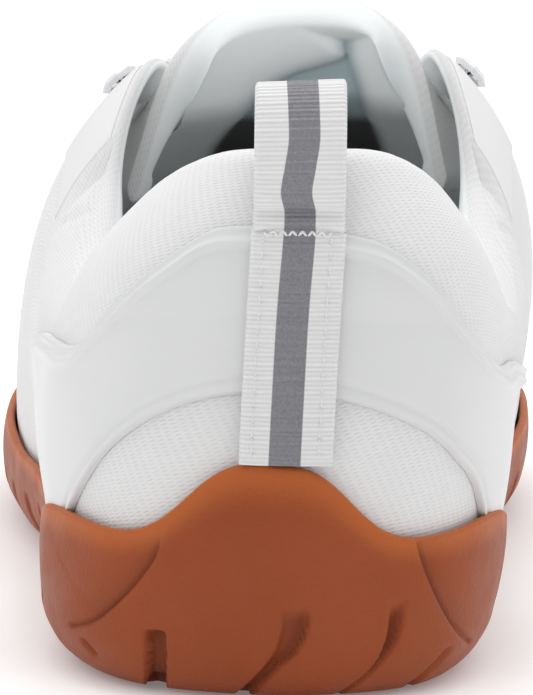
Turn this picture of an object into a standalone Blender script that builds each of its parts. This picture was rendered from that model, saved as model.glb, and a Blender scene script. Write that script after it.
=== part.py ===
"""Left barefoot shoe, standing empty: a hollow textile upper in a moulded rubber cup sole.

+Y points to the toe, +X to the medial side and +Z up. The origin is the middle of the flat
spot under the heel. Every piece takes its shape from one function, skin(u, t), the outside of
the upper: u runs round the shoe in stations and t runs from the sole line (0) to the rim (1).
"""

import bmesh
import bpy
import numpy as np
from mathutils import Vector

# Sizes of the last, in metres
LAST_LENGTH = 0.275
BALL_WIDTH = 0.108
HEEL_WIDTH = 0.066
HEEL_HEIGHT = 0.0793
INSTEP_HEIGHT = 0.091
VAMP_HEIGHT = 0.058
HEEL_REST = 0.032
TOE_SPRING = 0.011
ARCH_RISE = 0.002

# Upper
WALL = 0.0022
PADDING = 0.008
PADDING_START = 0.5
PADDING_END = 0.92
COLLAR_PUFF = 0.0015
OVERLAY = 0.0009
FILM_LIFT = 0.0006
EYESTAY_START = 4.4
EYESTAY_INNER = 0.76
EYESTAY_DIP = 0.03
EYESTAY_EDGE = 0.985
GAP = 0.0003

# Sole
SOLE_THICKNESS = 0.008
CUP_WALL = 0.0032
CUP_GAP = 0.0005
CUP_EDGE = 0.0016
CUP_HEIGHT = 0.0231
WAVE_HEIGHT = 0.0125
WAVE_WIDTH = 0.0135
WAVE_CENTRE = -0.003
GROOVE_RADIUS = 0.0016
INSOLE_THICKNESS = 0.003

# Tongue, loop, eyelets and lace
TONGUE_THICKNESS = 0.004
TONGUE_RISE = 0.0197
TONGUE_LEAN = 0.0065
TONGUE_GAP = 0.0018
TONGUE_TAPER = 0.25
TONGUE_TUCK = 0.68
TONGUE_SHOULDER = 0.95
TONGUE_FRONT = 0.84
TONGUE_POINTS = 13
TONGUE_ARCH = 1.2
LOOP_WIDTH = 0.0145
LOOP_THICKNESS = 0.0013
LOOP_HEIGHT = 0.021
LOOP_DEPTH = 0.0088
EYELET_RADIUS = 0.003
EYELET_WIRE = 0.0008
LACE_RADIUS = 0.0012
LACE_BOW = 0.002
LACE_CLEARANCE = 1.0

# Stations of one side, from the middle of the heel to the tip of the toe. Each row gives the
# sole line (share of the length, distance from the axis), the rim (the same and its height),
# and how far the wall stands out of the straight line between them, low down and high up
# (shares of the ball width), with the shares of the rise at which it does.
LATERAL = (
    # sole line                    rim                                        low          high
    (0.000, 0.015 * HEEL_WIDTH, 0.022, -0.023 * HEEL_WIDTH, 1.00 * HEEL_HEIGHT, 0.030, 0.33, 0.035, 0.72),
    (0.027, 0.348 * HEEL_WIDTH, 0.040, 0.220 * HEEL_WIDTH, 0.990 * HEEL_HEIGHT, 0.028, 0.33, 0.037, 0.72),
    (0.098, 0.506 * HEEL_WIDTH, 0.105, 0.372 * HEEL_WIDTH, 0.895 * HEEL_HEIGHT, 0.027, 0.33, 0.043, 0.72),
    (0.207, 0.324 * BALL_WIDTH, 0.204, 0.315 * BALL_WIDTH, 0.700 * HEEL_HEIGHT, 0.033, 0.34, 0.040, 0.73),
    (0.305, 0.332 * BALL_WIDTH, 0.313, 0.300 * BALL_WIDTH, 0.875 * HEEL_HEIGHT, 0.058, 0.34, 0.064, 0.74),
    (0.407, 0.364 * BALL_WIDTH, 0.393, 0.227 * BALL_WIDTH, 1.005 * INSTEP_HEIGHT, 0.079, 0.36, 0.084, 0.76),
    (0.527, 0.426 * BALL_WIDTH, 0.520, 0.157 * BALL_WIDTH, 0.865 * INSTEP_HEIGHT, 0.066, 0.38, 0.087, 0.78),
    (0.651, 0.466 * BALL_WIDTH, 0.633, 0.083 * BALL_WIDTH, 1.070 * VAMP_HEIGHT, 0.049, 0.42, 0.071, 0.82),
    (0.798, 0.452 * BALL_WIDTH, 0.665, 0.046 * BALL_WIDTH, 1.010 * VAMP_HEIGHT, 0.040, 0.46, 0.048, 0.80),
    (0.942, 0.320 * BALL_WIDTH, 0.675, 0.009 * BALL_WIDTH, 1.000 * VAMP_HEIGHT, 0.032, 0.46, 0.024, 0.76),
    (1.000, -0.055 * BALL_WIDTH, 0.678, -0.028 * BALL_WIDTH, 0.990 * VAMP_HEIGHT, 0.032, 0.46, 0.008, 0.74),
)
MEDIAL = (
    # sole line                    rim                                        low          high
    (0.000, -0.015 * HEEL_WIDTH, 0.022, 0.023 * HEEL_WIDTH, 1.00 * HEEL_HEIGHT, 0.030, 0.33, 0.035, 0.72),
    (0.027, 0.292 * HEEL_WIDTH, 0.040, 0.265 * HEEL_WIDTH, 0.990 * HEEL_HEIGHT, 0.030, 0.33, 0.038, 0.72),
    (0.098, 0.426 * HEEL_WIDTH, 0.105, 0.402 * HEEL_WIDTH, 0.890 * HEEL_HEIGHT, 0.037, 0.33, 0.042, 0.72),
    (0.207, 0.276 * BALL_WIDTH, 0.204, 0.340 * BALL_WIDTH, 0.667 * HEEL_HEIGHT, 0.039, 0.34, 0.026, 0.73),
    (0.305, 0.276 * BALL_WIDTH, 0.313, 0.318 * BALL_WIDTH, 0.865 * HEEL_HEIGHT, 0.062, 0.34, 0.060, 0.74),
    (0.407, 0.294 * BALL_WIDTH, 0.393, 0.254 * BALL_WIDTH, 1.028 * INSTEP_HEIGHT, 0.106, 0.36, 0.108, 0.76),
    (0.527, 0.352 * BALL_WIDTH, 0.520, 0.204 * BALL_WIDTH, 0.892 * INSTEP_HEIGHT, 0.092, 0.38, 0.108, 0.78),
    (0.651, 0.415 * BALL_WIDTH, 0.633, 0.139 * BALL_WIDTH, 1.085 * VAMP_HEIGHT, 0.061, 0.42, 0.076, 0.82),
    (0.798, 0.432 * BALL_WIDTH, 0.665, 0.102 * BALL_WIDTH, 1.015 * VAMP_HEIGHT, 0.050, 0.46, 0.056, 0.80),
    (0.942, 0.355 * BALL_WIDTH, 0.675, 0.065 * BALL_WIDTH, 1.000 * VAMP_HEIGHT, 0.032, 0.46, 0.024, 0.76),
    (1.000, 0.055 * BALL_WIDTH, 0.678, 0.028 * BALL_WIDTH, 0.990 * VAMP_HEIGHT, 0.032, 0.46, 0.008, 0.74),
)
SIDE = len(LATERAL) - 1
TURN = 2 * SIDE
LEVELS = (0.0, 0.33, 0.72, 1.0)
LEVEL_INWARD = (0.0, 0.12, 0.55, 1.0)

# Columns of the grid in each station: closer round the heel, where the sole's edge waves
COLUMNS = (5, 5) + (4,) * (TURN - 4) + (5, 5)
OUTER_ROWS = (0.0, 0.12, 0.26, 0.4, 0.54, 0.67, 0.78, 0.89, 1.0)

# Height of the cup's edge at each station, from heel to toe, in shares of CUP_HEIGHT
CUP_EDGE_LINE = (1.0, 1.05, 1.08, 0.82, 0.66, 0.69, 0.79, 0.90, 0.90, 0.82, 0.75)

# Edges of the heel film by station from the middle of the heel, above 0 on the lateral side and
# below 0 on the medial side, in shares of HEEL_HEIGHT
FILM_REACH = 4.3
FILM_TOP = (
    (-4.3, 0.505), (-3.2, 0.545), (-2.46, 0.590), (-1.83, 0.612), (-1.46, 0.666), (-0.97, 0.777),
    (-0.58, 0.858), (-0.31, 0.878), (0.0, 0.886), (0.34, 0.890), (0.63, 0.876), (1.12, 0.767),
    (1.64, 0.652), (1.91, 0.632), (2.78, 0.620), (3.5, 0.580), (4.3, 0.555),
)
FILM_BOTTOM = (
    (-4.3, 0.18), (-2.3, 0.20), (-1.71, 0.320), (-1.2, 0.450), (-0.68, 0.536), (-0.26, 0.574),
    (0.26, 0.582), (0.58, 0.562), (0.85, 0.524), (1.22, 0.448), (1.62, 0.338), (2.1, 0.20),
    (4.3, 0.18),
)

# Side of the sole under the cup: distance outside the sole line in shares of the cup's wall,
# and height in shares of the sole's thickness
SOLE_SIDE = ((0.66, 0.62), (0.14, 0.29), (-0.60, 0.07), (-1.50, 0.0))
SPINE_HEEL = 0.11
SPINE_TOE = 0.72

# Grooves up the heel's corner: station at the ground and station at the upper end
HEEL_GROOVES = ((0.95, 0.95), (0.22, 0.02), (-0.42, -0.70), (-1.15, -1.42), (1.62, 1.5))
EDGE_GROOVE_START = 2.2
EDGE_GROOVE_END = 9.7
EDGE_GROOVE_STEP = 0.55

EYELET_STATIONS = (5.25, 5.72, 6.2, 6.68, 7.16)
EYELET_LEVEL = 0.925

# Loop of webbing above its stitched stretch: shares of LOOP_DEPTH forward and LOOP_HEIGHT up.
# The stitched stretch ends at a share of the heel's height.
LOOP_SHAPE = (
    (-0.08, 0.20), (-0.15, 0.45), (-0.12, 0.70), (0.06, 0.90), (0.38, 1.00), (0.70, 0.94),
    (0.82, 0.80), (0.74, 0.66), (0.52, 0.55), (0.33, 0.44), (0.26, 0.33),
)
LOOP_FOOT = 0.875

WHITE_TEXTILE = ("white_textile", (0.80, 0.81, 0.82, 1.0), 0.85)
WHITE_FILM = ("white_film", (0.84, 0.85, 0.86, 1.0), 0.42)
GUM_RUBBER = ("gum_rubber", (0.36, 0.10, 0.045, 1.0), 0.62)
BLACK_FOAM = ("black_foam", (0.015, 0.015, 0.017, 1.0), 0.9)
WHITE_ENAMEL = ("white_enamel", (0.75, 0.76, 0.78, 1.0), 0.35)


def smooth(knots, values, at):
    """Read a smooth curve through a table of values at the given places."""
    knots = np.asarray(knots, float)
    values = np.asarray(values, float)
    slopes = np.gradient(values, knots, axis=0)
    at = np.clip(np.asarray(at, float), knots[0], knots[-1])
    index = np.clip(np.searchsorted(knots, at, side="right") - 1, 0, len(knots) - 2)
    step = knots[index + 1] - knots[index]
    s = (at - knots[index]) / step
    if values.ndim == 2:
        step = step[:, None]
        s = s[:, None]
    before = (1 + 2 * s) * (1 - s) ** 2 * values[index] + s * (1 - s) ** 2 * step * slopes[index]
    after = s ** 2 * (3 - 2 * s) * values[index + 1] + s ** 2 * (s - 1) * step * slopes[index + 1]
    return before + after


def read_table(table, at):
    """Read a table of pairs as a smooth curve."""
    knots = [row[0] for row in table]
    values = [row[1] for row in table]
    return smooth(knots, values, at)


def ground(x, y):
    """Height of the sole's underside: flat at heel and ball, raised in the arch and at the toe."""
    along = (y + HEEL_REST) / LAST_LENGTH
    arch = np.sin(np.pi * np.clip((along - 0.26) / 0.26, 0.0, 1.0)) ** 2
    toe = np.clip((along - 0.70) / 0.30, 0.0, 1.3) ** 1.9
    return ARCH_RISE * arch * (1 + x / BALL_WIDTH) + TOE_SPRING * toe


def half_rows(table, side):
    """Sole line and rim points of one side, with the wall's bulges, as an array of rows."""
    rows = []
    for line_y, line_x, rim_y, rim_x, rim_z, low_out, low_up, high_out, high_up in table:
        rows.append((side * line_x, line_y * LAST_LENGTH - HEEL_REST,
                     side * rim_x, rim_y * LAST_LENGTH - HEEL_REST, rim_z,
                     low_out * BALL_WIDTH, low_up, high_out * BALL_WIDTH, high_up))
    return rows


def control_points():
    """Four points of the wall's profile at each of the stations round the shoe."""
    rows = np.array(half_rows(LATERAL, -1) + half_rows(MEDIAL, 1)[SIDE - 1:0:-1])
    line = rows[:, 0:2]
    rim = rows[:, 2:4]
    tangent = np.roll(line, -1, axis=0) - np.roll(line, 1, axis=0)
    outward = np.stack([-tangent[:, 1], tangent[:, 0]], axis=1)
    outward /= np.linalg.norm(outward, axis=1, keepdims=True)
    foot = ground(line[:, 0], line[:, 1]) + SOLE_THICKNESS + GAP
    bulge = np.stack([0 * foot, rows[:, 5], rows[:, 7], 0 * foot], axis=1)
    rise = np.stack([0 * foot, rows[:, 6], rows[:, 8], 0 * foot + 1], axis=1)
    points = np.zeros((TURN, 4, 3))
    for k in range(4):
        plan = line + (rim - line) * LEVEL_INWARD[k] + outward * bulge[:, k:k + 1]
        points[:, k, 0:2] = plan
        points[:, k, 2] = foot + (rows[:, 4] - foot) * rise[:, k]
    return points


CONTROL = control_points()


def round_the_shoe(u):
    """The profile's four control points at any place round the shoe, on a smooth closed curve."""
    u = np.mod(u, TURN)
    index = np.floor(u).astype(int)
    s = (u - index)[..., None, None]
    p0, p1, p2, p3 = (CONTROL[(index + k) % TURN] for k in (-1, 0, 1, 2))
    points = p1 + 0.5 * s * (p2 - p0 + s * (2 * p0 - 5 * p1 + 4 * p2 - p3
                                            + s * (3 * (p1 - p2) + p3 - p0)))
    points[..., 0, 2] = ground(points[..., 0, 0], points[..., 0, 1]) + SOLE_THICKNESS + GAP
    return points


def plain_skin(u, t):
    """A point of the upper's surface without its padding."""
    u, t = np.broadcast_arrays(np.asarray(u, float), np.asarray(t, float))
    points = round_the_shoe(u)
    total = np.zeros(u.shape + (3,))
    for k, level in enumerate(LEVELS):
        weight = np.ones(u.shape)
        for other in LEVELS:
            if other != level:
                weight = weight * (t - other) / (level - other)
        total += points[..., k, :] * weight[..., None]
    return total


def outward_normal(u, t):
    """Unit normal of the upper's surface, away from the foot."""
    step = 0.002
    across = plain_skin(u, np.asarray(t) + step) - plain_skin(u, np.asarray(t) - step)
    along = plain_skin(np.asarray(u) + step, t) - plain_skin(np.asarray(u) - step, t)
    normal = np.cross(across, along)
    return normal / np.linalg.norm(normal, axis=-1, keepdims=True)


def from_heel(u):
    """Stations away from the middle of the heel, on either side."""
    u = np.mod(u, TURN)
    return np.minimum(u, TURN - u)


def ramp(value, start, end):
    """Smooth step from 0 at start to 1 at end."""
    s = np.clip((value - start) / (end - start), 0.0, 1.0)
    return s * s * (3 - 2 * s)


def collar(u):
    """1 round the padded collar, fading to 0 at the eyestay."""
    return 1 - ramp(from_heel(u), 3.3, 4.7)


def skin(u, t, off=0.0):
    """The upper's outer surface, moved outwards by off."""
    u, t = np.broadcast_arrays(np.asarray(u, float), np.asarray(t, float))
    puff = COLLAR_PUFF * collar(u) * np.sin(np.pi * np.clip((t - 0.68) / 0.32, 0.0, 1.0))
    return plain_skin(u, t) + outward_normal(u, t) * (puff + off)[..., None]


def wall(u, t):
    """Thickness of the upper: textile, thicker where the collar is padded."""
    return WALL + (PADDING - WALL) * collar(u) * ramp(t, PADDING_START, PADDING_END)


def level_at_height(u, height, off=0.0):
    """The t at which the upper, or a surface off it, reaches a height above the floor."""
    t = np.linspace(0.0, 1.0, 101)
    heights = skin(np.asarray(u)[:, None], t[None, :], off)[..., 2]
    return np.array([np.interp(h, row, t) for h, row in zip(height, heights)])


def grid_columns():
    """Places of the grid's columns round the shoe."""
    places = []
    for station, count in enumerate(COLUMNS):
        for k in range(count):
            places.append(station + k / count)
    return np.array(places)


U = grid_columns()


def column_range(start, end):
    """Columns of the grid from one place round the shoe to another, start may be negative."""
    both = np.concatenate([U - TURN, U])
    return both[(both >= start - 1e-6) & (both <= end + 1e-6)]


def material(spec):
    """Principled material from a name, a colour and a roughness."""
    name, colour, roughness = spec
    made = bpy.data.materials.get(name) or bpy.data.materials.new(name)
    made.use_nodes = True
    shader = made.node_tree.nodes["Principled BSDF"]
    shader.inputs["Base Color"].default_value = colour
    shader.inputs["Roughness"].default_value = roughness
    shader.inputs["Metallic"].default_value = 0.0
    return made


def new_object(name, mesh, collection, spec):
    """Put a mesh into the scene as a named object with its own material."""
    made = bpy.data.objects.new(name, mesh)
    collection.objects.link(made)
    mesh.materials.clear()
    mesh.materials.append(material(spec))
    mesh.shade_smooth()
    mesh.set_sharp_from_angle(angle=0.6)
    return made


def loft(name, rows, collection, spec, closed_rows=False, closed_columns=False):
    """Skin rows of points with quads. Points that coincide are merged."""
    count = rows.shape[1]
    mesh = bmesh.new()
    verts = [[mesh.verts.new(point) for point in row] for row in rows]
    row_pairs = len(rows) if closed_rows else len(rows) - 1
    column_pairs = count if closed_columns else count - 1
    for i in range(row_pairs):
        for j in range(column_pairs):
            below, above = verts[i], verts[(i + 1) % len(rows)]
            k = (j + 1) % count
            mesh.faces.new((below[j], above[j], above[k], below[k]))
    bmesh.ops.remove_doubles(mesh, verts=mesh.verts, dist=1e-5)
    data = bpy.data.meshes.new(name)
    mesh.to_mesh(data)
    mesh.free()
    return new_object(name, data, collection, spec)


def solidify(made, thickness, offset):
    """Give an open surface its thickness."""
    shell = made.modifiers.new("thickness", "SOLIDIFY")
    shell.thickness = thickness
    shell.offset = offset
    shell.use_even_offset = False


def make_upper(collection):
    """One hollow wall: outside up to the rim, over the rounded rim, and down the inside."""
    rows = []
    for t in OUTER_ROWS:
        rows.append(skin(U, t))
    top = skin(U, 1.0)
    normal = outward_normal(U, 1.0)
    rise = skin(U, 1.0) - skin(U, 0.99)
    rise /= np.linalg.norm(rise, axis=1, keepdims=True)
    radius = wall(U, 1.0)[:, None] / 2
    for angle in np.radians((45, 90, 135)):
        rows.append(top + radius * (normal * (np.cos(angle) - 1) + rise * np.sin(angle)))
    for t in (1.0, 0.88, 0.74, 0.56, 0.36, 0.16):
        rows.append(skin(U, t, -wall(U, t)))
    base = skin(U, 0.0, -WALL)
    base[:, 2] = rows[0][:, 2]
    rows.append(base)
    return loft("upper", np.array(rows), collection, WHITE_TEXTILE, True, True)


def flat_outward(u):
    """Unit normal of the sole line in plan."""
    normal = outward_normal(u, 0.0)
    normal[..., 2] = 0.0
    return normal / np.linalg.norm(normal, axis=-1, keepdims=True)


def spine_points(u):
    """Where the floor's rows from both sides meet, on one straight axis."""
    line = plain_skin(u, 0.0)
    other = plain_skin(TURN - u, 0.0)
    heel = SPINE_HEEL * LAST_LENGTH - HEEL_REST
    toe = SPINE_TOE * LAST_LENGTH - HEEL_REST
    y = np.clip((line[:, 1] + other[:, 1]) / 2, heel, toe)
    return np.stack([0.0 * y, y, 0.0 * y], axis=1)


def plate_rows(edge, u, lift, shares):
    """Rows from the spine to an edge at a height above the sole's underside."""
    spine = spine_points(u)
    rows = []
    for share in shares:
        row = spine + (edge - spine) * share
        row[:, 2] = ground(row[:, 0], row[:, 1]) + lift
        rows.append(row)
    return rows


def cup_height(u):
    """Height of the cup's edge, with the wave over the middle of the heel."""
    line = smooth(np.arange(SIDE + 1), CUP_EDGE_LINE, from_heel(u)) * CUP_HEIGHT
    aside = np.abs(plain_skin(u, 0.3)[:, 0] - WAVE_CENTRE) / WAVE_WIDTH
    wave = WAVE_HEIGHT * np.exp(-aside ** 3) * (from_heel(u) < SIDE / 2)
    return line + wave + ground(0.0, plain_skin(u, 0.0)[:, 1])


def cup_level(u):
    """The t of the cup's edge."""
    return level_at_height(u, cup_height(u))


def sole_side_row(u, out, up):
    """A row of the sole's side at a share of the cup's wall outside the sole line."""
    row = plain_skin(u, 0.0) + flat_outward(u) * out * (CUP_GAP + CUP_WALL)
    row[:, 2] = ground(row[:, 0], row[:, 1]) + up * SOLE_THICKNESS
    return row


def groove_path(u_low, u_high):
    """Points of one groove, from under the sole round its corner to the foot of the cup."""
    u = np.linspace(u_low, u_high, 5)
    spine = spine_points(u[:1])
    edge = sole_side_row(u[:1], *SOLE_SIDE[3])
    start = spine + (edge - spine) * 0.78
    start[:, 2] = ground(start[:, 0], start[:, 1])
    path = [start[0], edge[0]]
    for k, (out, up) in zip((2, 3, 4), SOLE_SIDE[2::-1]):
        path.append(sole_side_row(u[k:k + 1], out, up)[0])
    return path


def tube_mesh(name, paths, radius, bevel_resolution):
    """Closed tubes along lists of points, as one mesh."""
    curve = bpy.data.curves.new(name, "CURVE")
    curve.dimensions = "3D"
    curve.bevel_depth = radius
    curve.bevel_resolution = bevel_resolution
    curve.use_fill_caps = True
    for path in paths:
        spline = curve.splines.new("POLY")
        spline.points.add(len(path) - 1)
        for point, place in zip(spline.points, path):
            point.co = (*place, 1.0)
    holder = bpy.data.objects.new(name, curve)
    bpy.context.scene.collection.objects.link(holder)
    bpy.context.view_layer.update()
    evaluated = holder.evaluated_get(bpy.context.evaluated_depsgraph_get())
    made = bpy.data.meshes.new_from_object(evaluated)
    bpy.data.objects.remove(holder)
    mesh = bmesh.new()
    mesh.from_mesh(made)
    bmesh.ops.remove_doubles(mesh, verts=mesh.verts, dist=1e-6)
    bmesh.ops.recalc_face_normals(mesh, faces=mesh.faces)
    mesh.to_mesh(made)
    mesh.free()
    return made


def combine(made, other, operation):
    """Cut a cutter out of an object, or join it on."""
    step = made.modifiers.new(other.name, "BOOLEAN")
    step.operation = operation
    step.object = other
    step.solver = "EXACT"


def hide_cutter(cutter):
    """Leave a cutter out of renders."""
    cutter.hide_render = True
    cutter.display_type = "WIRE"


def make_outsole(collection, cutters):
    """Cup sole: floor, cup wall against the upper, side, and underside with its grooves."""
    top = cup_level(U)
    inner_foot = plain_skin(U, 0.0) + flat_outward(U) * CUP_GAP
    rows = plate_rows(inner_foot, U, SOLE_THICKNESS, (0.0, 0.45, 0.8, 1.0))
    for t in OUTER_ROWS[1:5]:
        rows.append(skin(U, np.minimum(t, top), CUP_GAP))
    rows.append(skin(U, top, CUP_GAP))
    for share in (1.0, 0.62, 0.3, 0.0):
        rows.append(skin(U, top * share, CUP_GAP + CUP_WALL + (CUP_EDGE - CUP_WALL) * share ** 2))
    for out, up in SOLE_SIDE:
        rows.append(sole_side_row(U, out, up))
    rows += plate_rows(rows[-1], U, 0.0, (0.8, 0.45, 0.0))
    sole = loft("outsole", np.array(rows[::-1]), collection, GUM_RUBBER, False, True)
    paths = [groove_path(low, high) for low, high in HEEL_GROOVES]
    for station in np.arange(EDGE_GROOVE_START, EDGE_GROOVE_END, EDGE_GROOVE_STEP):
        paths.append(groove_path(station, station))
        paths.append(groove_path(TURN - station, TURN - station))
    grooves = new_object("grooves", tube_mesh("grooves", paths, GROOVE_RADIUS, 0), cutters, GUM_RUBBER)
    hide_cutter(grooves)
    combine(sole, grooves, "DIFFERENCE")
    return sole


def make_insole(collection):
    """Thin footbed that follows the foot of the wall inside."""
    inside = WALL + 5 * GAP
    level = level_at_height(U, plain_skin(U, 0.0)[:, 2] + INSOLE_THICKNESS, -inside)
    low = plain_skin(U, 0.0) - flat_outward(U) * inside
    high = skin(U, level, -inside)
    lift = SOLE_THICKNESS + GAP
    rows = plate_rows(low, U, lift, (0.0, 0.45, 0.8, 1.0))
    rows += plate_rows(high, U, lift + INSOLE_THICKNESS, (1.0, 0.8, 0.45, 0.0))
    return loft("insole", np.array(rows), collection, BLACK_FOAM, False, True)


def make_heel_film(collection):
    """Smooth film round the heel, between the collar and the arch over the sole."""
    u = column_range(-FILM_REACH, FILM_REACH)
    top = read_table(FILM_TOP, u) * HEEL_HEIGHT
    bottom = read_table(FILM_BOTTOM, u) * HEEL_HEIGHT
    bottom = np.maximum(bottom, cup_height(u) + 2 * GAP)
    low = level_at_height(u, bottom)
    high = level_at_height(u, top)
    rows = [skin(u, low + (high - low) * share, FILM_LIFT) for share in np.linspace(0, 1, 5)]
    film = loft("heel_overlay", np.array(rows), collection, WHITE_FILM)
    solidify(film, OVERLAY, 1.0)
    return film


def make_eyestay(collection):
    """Smooth horseshoe round the throat."""
    u = column_range(EYESTAY_START, TURN - EYESTAY_START)
    turned = (u - EYESTAY_START) / (TURN - 2 * EYESTAY_START)
    inner = EYESTAY_INNER - EYESTAY_DIP * np.sin(np.pi * turned)
    rows = [skin(u, inner + (EYESTAY_EDGE - inner) * share, GAP) for share in np.linspace(0, 1, 4)]
    stay = loft("eyestay", np.array(rows), collection, WHITE_FILM)
    solidify(stay, OVERLAY, 1.0)
    return stay


def tongue_row(station):
    """One row across the tongue, tucked under both edges of the throat."""
    clear = WALL + TONGUE_THICKNESS / 2 + TONGUE_GAP
    sides = []
    for u, order in ((station, 1), (TURN - station, -1)):
        level = np.array([TONGUE_TUCK, TONGUE_SHOULDER])
        pair = skin(u, level) - outward_normal(u, level) * clear
        sides.append(pair[::order])
    points = np.concatenate([sides[0], [(sides[0][1] + sides[1][0]) / 2], sides[1]])
    return smooth(np.arange(5), points, np.linspace(0, 4, TONGUE_POINTS))


def make_tongue(collection):
    """Padded tongue from under the vamp to above the eyestay."""
    rows = []
    front = np.linspace(8.0, TURN - 8.0, TONGUE_POINTS)
    clear = WALL + TONGUE_THICKNESS / 2 + TONGUE_GAP
    rows.append(skin(front, TONGUE_FRONT) - outward_normal(front, TONGUE_FRONT) * clear)
    for station in (7.5, 7.0, 6.5, 6.0, 5.6, 5.2):
        rows.append(tongue_row(station))
    across = np.linspace(-1, 1, TONGUE_POINTS)
    shoulder = rows[-1]
    for share in (0.35, 0.7, 1.0):
        row = shoulder.copy()
        crown = np.cos(across * np.pi / 2) ** TONGUE_ARCH
        row[:, 0] = shoulder[:, 0] * (1 - TONGUE_TAPER * share ** 0.5)
        row[:, 1] -= TONGUE_LEAN * share
        row[:, 2] += TONGUE_RISE * share * crown
        rows.append(row)
    tongue = loft("tongue", np.array(rows), collection, WHITE_TEXTILE)
    solidify(tongue, TONGUE_THICKNESS, 0.0)
    return tongue


def loop_row(place, across):
    """One row across the webbing where it hangs free."""
    row = np.zeros((len(across), 3))
    row[:, 0] = place[0] + across
    row[:, 1] = place[1]
    row[:, 2] = place[2]
    return row


def make_pull_loop(collection):
    """Webbing sewn up the heel, folded over into a loop above the collar."""
    off = FILM_LIFT + OVERLAY + GAP + LOOP_THICKNESS / 2
    across = np.linspace(-0.5, 0.5, 5) * LOOP_WIDTH
    heel = np.array([0.0])
    start = level_at_height(heel, cup_height(heel) + 2 * GAP)[0]
    end = level_at_height(heel, np.array([LOOP_FOOT * HEEL_HEIGHT]))[0]
    rows = []
    for t in np.linspace(start, end, 8):
        speed = np.linalg.norm(skin(0.05, t, off) - skin(-0.05, t, off)) / 0.1
        rows.append(skin(across[::-1] / speed, t, off))
    foot = rows[-1].mean(axis=0)
    for forward, up in LOOP_SHAPE:
        place = foot + np.array([0.0, forward * LOOP_DEPTH, up * LOOP_HEIGHT])
        rows.append(loop_row(place, across))
    webbing = loft("pull_loop", np.array(rows), collection, WHITE_TEXTILE)
    solidify(webbing, LOOP_THICKNESS, 0.0)
    return webbing


def eyelet_place(station, side, lift):
    """Centre of an eyelet above the eyestay, with the surface's normal there."""
    u = station if side < 0 else TURN - station
    off = 2 * GAP + OVERLAY + lift
    return skin(u, EYELET_LEVEL, off), outward_normal(u, EYELET_LEVEL)


def make_eyelets(collection):
    """Rings on the eyestay, in pairs."""
    for number, station in enumerate(EYELET_STATIONS, 1):
        for side, label in ((-1, "lateral"), (1, "medial")):
            place, normal = eyelet_place(station, side, EYELET_WIRE)
            turn = Vector((0, 0, 1)).rotation_difference(Vector(normal))
            bpy.ops.mesh.primitive_torus_add(
                major_radius=EYELET_RADIUS, minor_radius=EYELET_WIRE, major_segments=8,
                minor_segments=4, location=place, rotation=turn.to_euler())
            ring = bpy.context.object
            ring.name = f"eyelet_{label}_{number}"
            for holder in ring.users_collection:
                holder.objects.unlink(ring)
            collection.objects.link(ring)
            ring.data.materials.append(material(WHITE_ENAMEL))
            ring.data.shade_smooth()


def strand(start, end):
    """Points of a lace from one eyelet to another, a little past both and bowed up between."""
    share = np.array([-0.05, 0.25, 0.75, 1.05])
    line = start + (end - start) * share[:, None]
    line[:, 2] += LACE_BOW * np.array([0.0, 1.0, 1.0, 0.0])
    return line


def make_lace(collection, cutters):
    """Lace across the throat: one bar at the front, and a crossing between each two pairs."""
    lift = 2 * EYELET_WIRE + LACE_RADIUS + GAP + LACE_CLEARANCE * EYELET_RADIUS
    left = [eyelet_place(station, -1, lift)[0] for station in EYELET_STATIONS]
    right = [eyelet_place(station, 1, lift)[0] for station in EYELET_STATIONS]
    strands = []
    for k in range(len(left) - 1):
        strands.append(strand(left[k], right[k + 1]))
        strands.append(strand(right[k], left[k + 1]))
    bar = tube_mesh("lace", [strand(left[-1], right[-1])], LACE_RADIUS, 1)
    lace = new_object("lace", bar, collection, WHITE_TEXTILE)
    for number, path in enumerate(strands[::-1], 1):
        name = f"lace_strand_{number}"
        piece = new_object(name, tube_mesh(name, [path], LACE_RADIUS, 1), cutters, WHITE_TEXTILE)
        hide_cutter(piece)
        combine(lace, piece, "UNION")
    return lace


def main():
    for old in list(bpy.data.objects):
        bpy.data.objects.remove(old)
    shoe = bpy.data.collections.new("barefoot_shoe")
    cutters = bpy.data.collections.new("cutters")
    bpy.context.scene.collection.children.link(shoe)
    bpy.context.scene.collection.children.link(cutters)
    make_outsole(shoe, cutters)
    make_upper(shoe)
    make_insole(shoe)
    make_tongue(shoe)
    make_heel_film(shoe)
    make_eyestay(shoe)
    make_pull_loop(shoe)
    make_eyelets(shoe)
    make_lace(shoe, cutters)


main()
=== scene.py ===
"""Looks of the left barefoot shoe: white textile and film over a gum rubber cup sole.

+Y points to the toe, +X to the medial side and +Z up, in metres. The fine meshes follow the
same surface as the solids: u runs round the shoe in stations from the middle of the heel, first
along the lateral side, and t runs from the sole line (0) to the rim (1). A signed station is
counted from the heel: above 0 on the lateral side, below 0 on the medial side.
"""

import math

import bmesh
import bpy
import numpy as np
from mathutils import Matrix, Vector


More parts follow.
